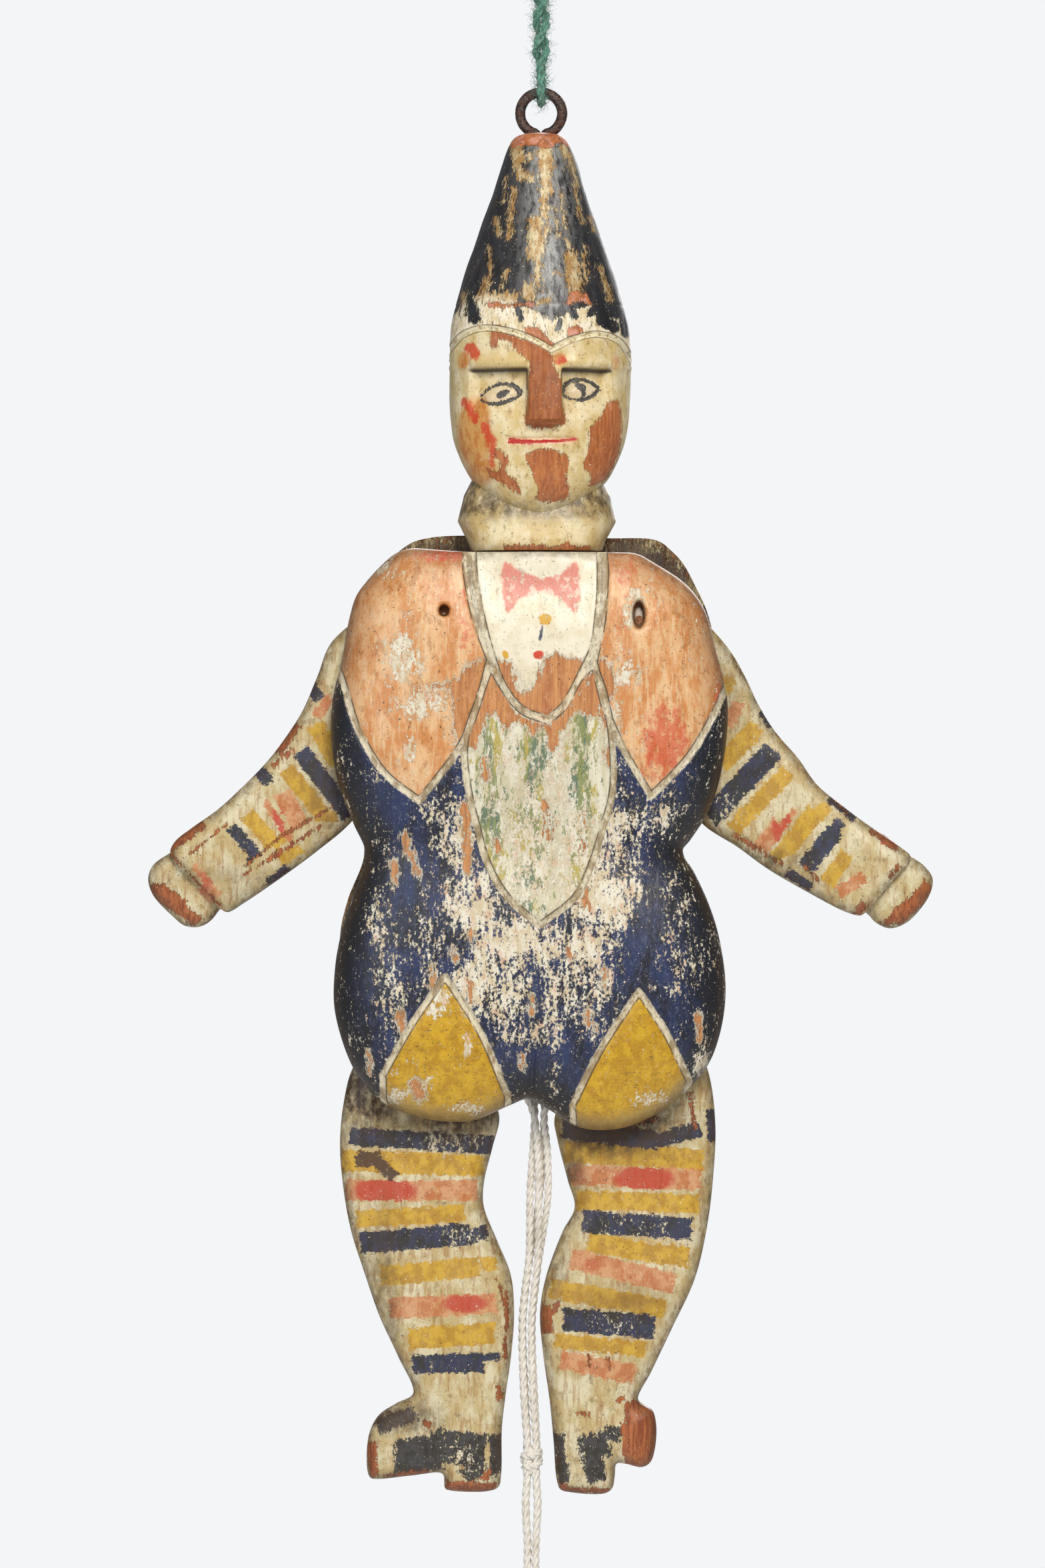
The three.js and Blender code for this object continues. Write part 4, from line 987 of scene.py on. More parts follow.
def hairline_at(p, flat, facing):
    """How far each point is from the hat's lower line, and how far above it."""
    hair = smooth(HAIRLINE[:7], 0.5, False)
    hair_right = smooth(HAIRLINE[7:], 0.5, False)
    line = np.minimum(to_path(flat, hair)[0], to_path(flat, hair_right)[0])
    both = np.vstack([hair, hair_right])
    above = flat[:, 1] - np.interp(flat[:, 0], both[:, 0], both[:, 1])
    around_back = np.abs(p[:, 2] + 65.8)
    line = np.where(facing > 2, line, around_back)
    above = np.where(facing > 2, above, p[:, 2] + 65.8)
    return line, above


def eye_sockets(p):
    """1 where a point lies across one of the two eye sockets, 0 elsewhere."""
    sockets = np.zeros(len(p))
    for left, right in ((-18.6, -3.9), (5.8, 18.4)):
        across = step_up(p[:, 0], left - 0.6, left + 0.7) * (1 - step_up(p[:, 0], right - 0.25, right + 0.25))
        sockets = np.maximum(sockets, across)
    return sockets


def eye_depths(p, flat):
    """How far each point is from the nearer eye's outline, and how deep inside it."""
    eye_edge, eye_in = np.full(len(p), 50.0), np.full(len(p), -50.0)
    for outline in EYES.values():
        almond = pointed(outline, 0.4)
        d = depth_in(flat, almond)
        eye_edge, eye_in = np.minimum(eye_edge, np.abs(d)), np.maximum(eye_in, d)
    return eye_edge, eye_in


def head_relief(p, flat, facing, front, line, sockets, eye_edge, eye_in):
    """How far the carving stands out from the turned shape."""
    lift = 0.25 * noise(p, (9, 9, 13), 21) + 0.12 * noise(p, (2.5, 2.5, 7), 22)
    lift += 0.03 * noise(p, (0.8, 0.8, 2), 23)
    lift -= groove_cut(line + 0.1 * noise(p, 2, 25), 0.42, 0.55) * (1 - 0.6 * step_up(-facing, 0, 8))
    lift += 0.16 * bump(line, 1.1, 0.6)
    lift -= 0.12 * bump(p[:, 2] + 0.5 * noise(p, (8, 8, 90), 26), -50.9, 0.3)
    below = step_up(-p[:, 2], 67.4, 68.1)
    fade = 1 - step_up(-p[:, 2], 70, 82)
    lift -= (2.5 * sockets * below * fade + 0.4 * below * fade) * front
    lift += 0.5 * bump(p[:, 2], -66.2, 1.3) * sockets * front
    lift += (0.75 * step_up(eye_in, 0, 2.4) - groove_cut(eye_edge, 0.42, 0.5) * 0.8) * front
    mouth_ends = step_up(9.6 - np.abs(flat[:, 0]), 0, 1.5)
    lift -= 0.75 * bump(flat[:, 1], -86.1 + 0.02 * flat[:, 0], 0.5) * mouth_ends * front
    lift += 0.35 * bump(flat[:, 1], -88, 1.3) * step_up(10 - np.abs(flat[:, 0]), 0, 3) * front
    return lift


def nose_at(p, facing):
    """Where the nose is, how far its bridge stands forward, and its half width."""
    share = np.clip((NOSE_TOP - p[:, 2]) / (NOSE_TOP - NOSE_TIP), 0, 1)
    wide = 4.1 + 0.35 * share
    across = 1 - step_up(np.abs(p[:, 0] - NOSE_X), wide - 0.1, wide + 0.35)
    down = 1 - step_up(-p[:, 2], -NOSE_TIP - 0.1, -NOSE_TIP + 0.45)
    upper = step_up(-p[:, 2], -NOSE_TOP - 2.5, -NOSE_TOP + 1)
    bridge = 20.9 + 4.0 * share - 0.28 * np.abs(p[:, 0] - NOSE_X) * share + 0.15 * noise(p, (2, 2, 6), 28)
    nose = across * down * upper * step_up(facing, 12, 15)
    return nose, bridge, wide


def head_marks(p, flat, facing, front, line, above, sockets, eye_in, nose, wide):
    """What the paint needs to know of the head's places."""

    def seen(depth, reach=0, hidden=-50):
        """A depth kept where the surface faces forward by that reach."""
        return np.where(facing > reach, depth, hidden)

    ink = PUPILS + [stroke for lid in LID_LINES for stroke in drawn(*lid)]
    bare = seen(np.max([depth_in(flat, loop(patch)) for patch in FACE_BARE.values()], axis=0), -3, -20)
    tip = 3.4 * (step_up(p[:, 2], -11.2, -7.4) - 0.5) + 1.2 * noise(p, (1.6, 1.6, 3), 29) - 0.3
    # Painted shade: darker under the brow ledges across the sockets, and beside the nose
    under_brow = bump(flat[:, 1], -68.6, 1.5) * sockets
    beside_nose = bump(np.abs(p[:, 0] - NOSE_X), wide + 1, 0.9) * bump(flat[:, 1], -76, 6)
    shadow = 0.9 * under_brow + 0.7 * beside_nose
    return {
        "hat": above,
        "groove": line,
        "eye": seen(eye_in),
        "ink": seen(stroke_depth(flat, ink)),
        "ledge": seen(stroke_depth(flat, LEDGE_SHADOWS)),
        "mouth": seen(stroke_depth(flat, MOUTH)),
        "red": seen(stroke_depth(flat, FACE_RED), -6),
        "blush": blobs(flat, FACE_BLUSH) * step_up(facing, -8, 2),
        "bare": np.maximum(bare, tip),
        "worn": seen(stroke_depth(flat, HAT_WORN), -2, -20),
        "kept": seen(stroke_depth(flat, HAT_LEFT_ON_BAND), -6, -20),
        # painted sheen: the grey reflection down the middle of the hat's front
        "dull": 0.95 * bump(p[:, 0], 1.5, 6) * front,
        "nose": np.clip(nose, 0, 1),
        # painted shade under the brows and beside the nose, and painted shade with dirt low on the head under
        # the jaw
        "grime": np.clip(0.6 * shadow * front + 0.5 * bump(p[:, 2], -104, 4), 0, 1),
    }


def carved_head():
    rows = level_sections(HEAD_SECTIONS, 0.42)
    even = np.linspace(-math.pi, math.pi, 400, endpoint=False)
    turn = even - 0.28 * np.sin(even)
    shape = turned(rows, HEAD_AXIS, lambda z: 2.5 - 0.45 * step_up(z, -66, -40), turn)
    p = shape.reshape(-1, 3)
    flat, facing = p[:, [0, 2]], -p[:, 1]
    front = step_up(facing, 1, 7)
    line, above = hairline_at(p, flat, facing)
    sockets = eye_sockets(p)
    eye_edge, eye_in = eye_depths(p, flat)
    lift = head_relief(p, flat, facing, front, line, sockets, eye_edge, eye_in)
    centre = np.column_stack([np.full(len(p), HEAD_AXIS), np.zeros(len(p)), p[:, 2]])
    outward = p - centre
    outward /= np.linalg.norm(outward, axis=1)[:, None] + 1e-9
    soft_end = step_up(-p[:, 2], 5.3, 8) * (1 - step_up(-p[:, 2], 103, 106))
    p = p + outward * (lift * soft_end)[:, None]
    nose, bridge, wide = nose_at(p, facing)
    p[:, 1] = np.where(nose > 0, np.minimum(p[:, 1], p[:, 1] * (1 - nose) - bridge * nose), p[:, 1])
    attributes = head_marks(p, flat, facing, front, line, above, sockets, eye_in, nose, wide)
    faces = tube_faces(len(rows), len(turn))
    return p, faces, attributes


TONGUE_X, TONGUE_Y, TONGUE_Z = (-8.5, 8.5), (-6.2, 6.2), (-138, -112)
UNPAINTED_TONGUE = {"bare": 3.0, "groove": 20.0, "blush": 0.0, "dull": 0.0, "nose": 0.0, "grime": 0.0}


def neck_and_tongue():
    rows = level_sections(NECK_SECTIONS, 0.5, True)
    turn = np.linspace(-math.pi, math.pi, 220, endpoint=False)
    p = turned(rows, NECK_AXIS, lambda z: np.full(len(z), 3.0), turn).reshape(-1, 3)
    cut = 6.2 + 7.8 * step_up(p[:, 2], -110.4, -110)
    p[:, 1] = np.minimum(p[:, 1], cut)
    planes = 0.22 * noise(p, (7, 9, 40), 33) + 0.1 * noise(p, (2, 2, 5), 34)
    p[:, 0] += planes * np.sign(p[:, 0] - NECK_AXIS)
    p[:, 1] += np.where(p[:, 1] < 0, -planes, 0)
    ragged = -113.6 + 1.1 * noise(p, (2.2, 9, 90), 35) + 0.5 * noise(p, (0.7, 9, 90), 36)
    bare = np.where((p[:, 1] < 0) & (p[:, 0] > -10) & (p[:, 0] < 13), ragged - p[:, 2], -20)
    plain = np.full(len(p), -20.0)
    attributes = {key: plain for key in ("hat", "eye", "ink", "ledge", "mouth", "red", "worn", "kept")}
    attributes |= {"groove": -plain, "bare": bare} | {key: plain * 0 for key in ("blush", "dull", "nose")}
    # Painted shade and dirt under the jaw, and a darker band along the neck's foot
    under_jaw = step_up(p[:, 2], -109.5, -103.5)
    attributes["grime"] = np.clip(1.1 * under_jaw + 0.5 * bump(p[:, 2], -114.5, 0.9), 0, 1)
    faces = tube_faces(len(rows), len(turn))
    box = np.array([(x, y, z) for x in TONGUE_X for y in TONGUE_Y for z in TONGUE_Z], float)
    box_faces = [(0, 1, 3, 2), (4, 6, 7, 5), (0, 4, 5, 1), (2, 3, 7, 6), (0, 2, 6, 4), (1, 5, 7, 3)]
    inner = {key: np.full(len(box), UNPAINTED_TONGUE.get(key, -20.0)) for key in attributes}
    verts, faces = merged((p, faces), (box, box_faces))
    return verts, faces, {key: np.concatenate([attributes[key], inner[key]]) for key in attributes}


def head():
    skull = carved_head()
    neck = neck_and_tongue()
    verts, faces = merged(skull[:2], neck[:2])
    attributes = {key: np.concatenate([skull[2][key], neck[2][key]]) for key in skull[2]}
    return make_piece("head_carved", "torso", "head_paint", ["head"], verts, faces, head_paint(), attributes)


# Round stock laid along a line: the eye's wire, strings, twine and knots

def frames_along(line):
    """Two directions square to the line at each point, carried along it without twist."""
    tangent = np.gradient(line, axis=0)
    tangent /= np.linalg.norm(tangent, axis=1)[:, None]
    start = np.cross(tangent[0], (0.3, 1, 0.2))
    normals = [start / np.linalg.norm(start)]
    for t in tangent[1:]:
        n = normals[-1] - t * (normals[-1] @ t)
        normals.append(n / np.linalg.norm(n))
    normals = np.array(normals)
    return normals, np.cross(tangent, normals)


def length_along(line):
    return np.concatenate([[0], np.cumsum(np.linalg.norm(np.diff(line, axis=0), axis=1))])


def tube(line, radius, around=20, shape=None):
    """A closed tube; shape(angle, place along in mm) scales the radius."""
    u, v = frames_along(line)
    along = length_along(line)
    angle = np.linspace(0, 2 * math.pi, around, endpoint=False)
    if shape is None:
        r = np.full((len(line), around), float(radius))
    else:
        r = radius * shape(angle[None, :], along[:, None])
    c, s = np.cos(angle)[None, :, None], np.sin(angle)[None, :, None]
    verts = line[:, None] + r[..., None] * (c * u[:, None] + s * v[:, None])
    return verts.reshape(-1, 3), tube_faces(len(line), around)


def on_cord(along, angle, radius):
    """Places on a cord's surface at which noise has no seam."""
    along, angle = np.broadcast_arrays(along, angle)
    places = np.stack([along, radius * np.cos(angle), radius * np.sin(angle)], axis=-1)
    return places.reshape(-1, 3)


def plied(plies, pitch, seed, fluff=0.02):
    """Section of laid cord: its plies are round lobes that turn once in each pitch."""
    def shape(angle, along):
        lobe = 2 * math.pi / plies
        psi = (angle - 2 * math.pi * along / pitch + lobe / 2) % lobe - lobe / 2
        a, b = (0.464, 0.536) if plies == 3 else (0.5, 0.5)
        r = b * np.cos(psi) + np.sqrt(np.maximum(a * a - (b * np.sin(psi)) ** 2, 0.01))
        uneven = fluff * noise(on_cord(along, angle, 3), (1.5, 1, 1), seed).reshape(r.shape)
        return r * (1 + uneven + 0.04 * np.sin(7 * psi + along * 9))

    return shape


def hairs(line, radius, count, long, seed, thick=0.06):
    """Loose fibres standing off a cord: thin three-sided curved needles, all in one mesh."""
    r = np.random.default_rng(seed)
    u, v = frames_along(line)
    tangent = np.gradient(line, axis=0)
    tangent /= np.linalg.norm(tangent, axis=1)[:, None]
    parts = []
    for _ in range(count):
        i = r.integers(2, len(line) - 2)
        a = r.uniform(0, 2 * math.pi)
        out = math.cos(a) * u[i] + math.sin(a) * v[i]
        side = math.cos(a + 1.57) * u[i] + math.sin(a + 1.57) * v[i]  # a quarter turn on
        size = long * r.uniform(0.4, 1.3)
        lean, curl = r.uniform(-1, 1), r.uniform(-0.8, 0.8)
        t = np.linspace(0, 1, 6)[:, None]
        rise = radius * 0.75 + size * (0.35 + 0.3 * abs(curl)) * np.sin(t * 2)
        path = line[i] + out * rise + tangent[i] * lean * size * t + side * curl * size * t * t
        a1, a2 = frames_along(path)
        rings = [
            path[k] + thick * (1 - 0.7 * k / 5) * (math.cos(w) * a1[k] + math.sin(w) * a2[k])
            for k in range(6) for w in (0, 2.1, 4.2)
        ]
        parts.append((np.array(rings), tube_faces(6, 3)))
    return merged(*parts)


# Strings, in millimetres: from each limb's tab down to the knot that gathers them

STRING_RADIUS = 1.0
STRING_PITCH = 7.6  # length in which the string's plies turn once
STOPPER_RADIUS = 2.3
END_KNOT_HIGH = 8.5
TASSEL_THREADS = 46
STRING_ROUTES = {
    "arm_left": [
        (-17.1, 3.7, -129.2), (-15.4, 3.7, -142), (-12, 3.7, -168), (-8.6, 3.7, -196), (-5, 3.6, -226),
        (-2.6, 2.6, -246), (-1.7, 1.4, -262), (-2.9, 0.4, -283), (-3.2, -1, -300), (-4.3, -1.1, -309),
        (-5, -1.2, -318), (-4.6, -1.2, -336), (-3.8, -1.2, -348.2),
    ],
    "arm_right": [
        (17.2, 3.7, -131.5), (15.6, 3.7, -144), (12.2, 3.7, -170), (8.4, 3.7, -198), (4.2, 3.6, -228),
        (1.6, 2.8, -246), (0.8, 1.5, -262), (-0.3, 1.6, -283), (-2.9, 1.5, -300), (-4.1, 1.4, -309),
        (-4.8, 1.3, -318), (-4.2, 1.3, -336), (-3.6, 1.2, -348.2),
    ],
    "leg_left": [
        (-13.1, -3.7, -245.8), (-9.4, -3.6, -250), (-5, -2.7, -256), (-2, -1.4, -262.5), (-1, -1.4, -272),
        (-0.8, -1.5, -283), (-0.9, -1.5, -300), (-1.9, -1.4, -309), (-2.6, -1.2, -318), (-2.2, -1.2, -336),
        (-1.4, -1.2, -348.2),
    ],
    "leg_right": [
        (11.15, -3.7, -240.8), (8, -3.6, -246), (4, -2.7, -253.5), (0.9, -1.5, -262), (1.6, -1.3, -272),
        (1.8, -1, -283), (0.9, 0.4, -291), (-0.5, 1.2, -300), (-1.6, 1.3, -309), (-2.4, 1.3, -318),
        (-1.8, 1.3, -336), (-1.2, 1.2, -348.2),
    ],
}
STRING_TAILS = {
    "arm_left": (-1.3, -1.2),
    "arm_right": (-1.1, 1.2),
    "leg_left": (1.1, -1.2),
    "leg_right": (1.3, 1.2),
}


def knot_box(node):
    low, high = node_box(node)
    return (low + high) / 2, low[2], high[2]


def trefoil(centre, radius, high, turn=0.0, lean=0.0, squash=1.0):
    """The line of a small tied knot: a trefoil standing about the upright."""
    t = np.linspace(0, 2 * math.pi, 120, endpoint=False)
    t = np.append(t, t[0] + 2 * math.pi)
    x, y, z = np.sin(t) + 2 * np.sin(2 * t), np.cos(t) - 2 * np.cos(2 * t), -np.sin(3 * t)
    x, y, z = x / 3 * radius, z * radius * 0.5 * squash, y / 3 * high
    c, s = math.cos(turn), math.sin(turn)
    return np.column_stack([centre[0] + c * x - s * y, centre[1] + s * x + c * y, centre[2] + z + lean * x])


def wraps(centre, radius, low, high, turns, start=0.0, wobble=0.25):
    """The line of several turns wound about the upright, drawn in at the ends."""
    t = np.linspace(0, 1, int(46 * turns))
    a = start + 2 * math.pi * turns * t
    r = radius * (0.45 + 0.55 * np.sin(math.pi * t) ** 0.45)
    z = low + (high - low) * t + wobble * np.sin(a * 2 + 1)
    return np.column_stack([centre[0] + r * np.cos(a), centre[1] + r * np.sin(a), z])


def string_route(name):
    kind = name.split("_")[0]
    behind = 1 if kind == "arm" else -1
    route = [np.array(q, float) for q in STRING_ROUTES[name]]
    x, hole = route[0][0], node_box(f"{kind}_knot_{name.split('_')[1]}")[1][2] - STOPPER_RADIUS
    start = [(x, -behind * 3.4, hole), (x, 0, hole)]
    start += [(x, behind * 2.4, hole - 0.2), (x, behind * 3.5, hole - 1.4)]
    pull, pull_low, _ = knot_box("pull_knot")
    end, _, end_high = knot_box("end_knot")
    across, deep = STRING_TAILS[name]
    tail = [
        (pull[0] + across, deep, pull_low - 0.3), (pull[0] + across * 1.3, deep * 1.2, -365),
        (pull[0] + across * 0.9, deep * 1.15, -376), (end[0] + across, deep, end_high + 0.3),
        (end[0] + across * 0.9, deep * 0.9, end_high - 5),
    ]
    rest = [tuple(route[0]), (route[0][0], route[0][1], route[0][2] - 1)] + [tuple(q) for q in route[1:]]
    return smooth(start + rest + tail, 0.42, False)


def stopper_knot(k, name, cotton):
    """The knot that holds a string at the hole in a limb's tab."""
    kind, side = name.split("_")
    node = f"{kind}_knot_{side}"
    low, high = node_box(node)
    behind = 1 if kind == "arm" else -1
    at = np.array([(low[0] + high[0]) / 2, -behind * 4.1, high[2] - STOPPER_RADIUS])
    turns = (trefoil(at, 1.35, 1.5, 0.2, 0.2), trefoil(at, 1.35, 1.5, 1.4, -0.3))
    mesh = merged(*(tube(turn, 0.72, 14, plied(3, 4.4, 41 + k)) for turn in turns))
    return make_piece(f"tied_{name}", "pull_strings", "cotton_string", [node], *mesh, cotton)


def gathering_knot(cotton):
    """The knot that joins the four strings."""
    pull, low, high = knot_box("pull_knot")
    centre = (pull[0], 0, 0)
    loops = [
        (wraps(centre, 2.1, low + 1.1, high - 1.1, 2.4, 0.6), 1.05, 51),
        (wraps(centre, 1.5, high - 1.4, low + 1.5, 1.6, 2.4, 0.5), 1.2, 52),
        (trefoil((pull[0], 0, (low + high) / 2), 2.1, 3.4, 0.5, 0.25), 1.0, 53),
    ]
    mesh = merged(*(tube(line, radius, 20, plied(3, 5, seed)) for line, radius, seed in loops))
    return make_piece("tied_pull_knot", "pull_strings", "cotton_string", ["pull_knot"], *mesh, cotton)


def tassel_threads(end, end_bottom, tassel_low):
    """The loose threads below the end knot, as tubes."""
    threads = []
    r = np.random.default_rng(17)
    for k in range(TASSEL_THREADS):
        a, out = r.uniform(0, 2 * math.pi), r.uniform(0.2, 2.6)
        spread, drop = r.uniform(0.75, 1.25), r.uniform(0.55, 1)
        x, y = out * math.cos(a), out * math.sin(a)
        bottom = end_bottom + 1 + (tassel_low - end_bottom - 0.8) * drop
        places = [
            (end[0] + x * 0.5, y * 0.5, end_bottom + 2),
            (end[0] + x * 0.8, y * 0.8, end_bottom - 1.5),
            (end[0] + x * spread, y * spread, (end_bottom + bottom) / 2),
            (end[0] + x * spread * 1.05 + 0.3 * math.sin(k), y * spread, bottom),
        ]
        line = smooth(places, 0.8, False)
        threads.append(tube(line, r.uniform(0.14, 0.34), 6))
    return threads


def end_knot(cotton):
    """The knot that ends the strings, with its short tassel."""
    end, tassel_low, end_top = knot_box("end_knot")
    end_bottom = end_top - END_KNOT_HIGH
    centre = (end[0], 0, 0)
    loops = [
        (wraps(centre, 2.2, end_bottom + 1.1, end_top - 1.1, 2.2, 1.9), 1.05, 54),
        (trefoil((end[0], 0, (end_bottom + end_top) / 2), 2.1, 3.0, 1.9, -0.3), 1.1, 55),
    ]
    parts = [tube(line, radius, 20, plied(3, 5, seed)) for line, radius, seed in loops]
    mesh = merged(*parts, *tassel_threads(end, end_bottom, tassel_low))
    return make_piece("tied_end_knot", "pull_strings", "cotton_string", ["end_knot"], *mesh, cotton)


def pull_string(k, name, cotton):
    """One string from its stopper knot down to its tail's end."""
    line = string_route(name)
    mesh = tube(line, STRING_RADIUS, 20, plied(3, STRING_PITCH, 60 + k))
    kind, side = name.split("_")
    nodes = [f"{kind}_string_{side}", f"{kind}_string_tail_{side}"]
    piece = make_piece(f"string_{name}", "pull_strings", "cotton_string", nodes, *mesh, cotton)
    mesh = hairs(line, STRING_RADIUS, int(len(line) * 0.2), 1.4, 70 + k, 0.03)
    fluff = make_piece(f"fibres_{name}", "pull_strings", "cotton_string", [], *mesh, cotton)


def strings():
    cotton = cord_fibre("cotton_string", "#fffcf5", "#f6eee0", "#c4b79f")
    companions = {name: [stopper_knot(k, name, cotton)] for k, name in enumerate(STRING_ROUTES)}
    first = next(iter(STRING_ROUTES))
    companions[first] += [gathering_knot(cotton), end_knot(cotton)]
    for k, name in enumerate(STRING_ROUTES):
        pull_string(k, name, cotton)


# The hanging twine: looped through the eye, its two strands laid round each other up to a knot

TWINE_RADIUS = 1.15
TWINE_PITCH = 15
TWIST_START = 13  # height at which the two strands begin to turn round each other
TWIST_RADIUS = 1.25


def twine_strand(side):
    """Half the loop: from under the eye's wire, round it and up to the knot."""
    low, high = node_box("screw_eye")
    wire = (high[0] - low[0]) / 2 - high[1]
    round_wire = high[1] + TWINE_RADIUS + 0.3
    top = node_box("twine_knot")[0][2] - 0.3
    bend = np.radians([0, 30, 60, 90])
    points = [(0, side * round_wire * math.sin(a), wire - round_wire * math.cos(a)) for a in bend]
    points.append((0, side * round_wire * 0.97, wire + 3.1))
    for t in np.linspace(0, 1, 16):
        a = side * math.pi / 2 + 2 * math.pi * (top - 2 - TWIST_START) / TWINE_PITCH * t
        height = TWIST_START + (top - 2 - TWIST_START) * t
        points.append((TWIST_RADIUS * math.cos(a), TWIST_RADIUS * math.sin(a), height))
    x, y, _ = points[-1]
    points += [(x, y, top - 0.8), (x * 0.8, y * 0.8, top + 3)]
    return smooth(points, 0.4, False)


def twine():
    fibre = cord_fibre("green_twine", "#7cb6a2", "#3d6758", "#aca78a")
    _, low, high = knot_box("twine_knot")
    parts = [
        tube(wraps((0, 0, 0), 2.3, low + 1.2, high - 1.4, 1.9, 0.4), 1.2, 20, plied(2, 5, 81, 0.1)),
        tube(trefoil((0, 0, (low + high) / 2), 2.2, 3.0, 0.8, 0.3), 1.15, 20, plied(2, 5, 82, 0.1)),
    ]
    knot = make_piece("twine_tied", "torso", "green_twine", ["twine_knot"], *merged(*parts), fibre)
    for k, side in enumerate((-1, 1)):
        line = twine_strand(side)
        mesh = tube(line, TWINE_RADIUS, 22, plied(3, 10, 83 + k, 0.16))
        name = ("front", "rear")[k]
        piece = make_piece(f"twine_{name}", "torso", "green_twine", ["hanging_twine"], *mesh, fibre)
        mesh = hairs(line, TWINE_RADIUS, 620, 3.2, 90 + k, 0.05)
        fluff = make_piece(f"twine_fibres_{name}", "torso", "green_twine", [], *mesh, fibre)


def screw_eye():
    low, high = node_box("screw_eye")
    wire = high[1]
    ring = (high[0] - low[0]) / 2 - wire
    a = np.radians(np.linspace(-84, 264, 150))
    round_ring = np.column_stack([ring * np.cos(a), 0 * a, ring * np.sin(a)])
    down = np.array([(0.9, 0, -ring - 0.7), (0.5, 0, -ring - 2.6)])
    down_left = down[::-1] * (-1, 1, 1)
    line = smooth(np.vstack([down[::-1], round_ring[4:-4:5], down_left[::-1]]), 0.22, False)

    def pitted(angle, along):
        place = on_cord(along, angle, 1.4)
        r = 1 - 0.035 + 0.03 * noise(place, (2.5, 1.2, 1.2), 95) + 0.03 * noise(place, 0.45, 96)
        return r.reshape(along.size, angle.size)

    ring_mesh = tube(line, wire, 32, pitted)
    z = np.linspace(low[2], -ring - 0.6, 160)
    thread = 1 + 0.16 * np.abs(np.sin(math.pi * z / 1.3)) * (z < -ring - 4)
    taper = 1.22 * step_up(z, low[2] - 0.4, low[2] + 5) * thread
    turn = np.linspace(0, 2 * math.pi, 24, endpoint=False)
    shank = np.array([(r * math.cos(t), r * math.sin(t), h) for h, r in zip(z, taper) for t in turn])
    verts, faces = merged(ring_mesh, (shank, tube_faces(len(z), 24)))
    return make_piece("eye_wire", "torso", "iron", ["screw_eye"], verts, faces, rusty_iron("iron_eye"))


# Materials: wood, a pale ground, colour, ink, dirt and painted shade, laid over each other where wear has
# left them

def linear(code):
    """A hex colour as the linear values that shaders take."""
    values = [int(code[i : i + 2], 16) / 255 for i in (1, 3, 5)]
    return tuple(v / 12.92 if v <= 0.04045 else ((v + 0.055) / 1.055) ** 2.4 for v in values) + (1.0,)


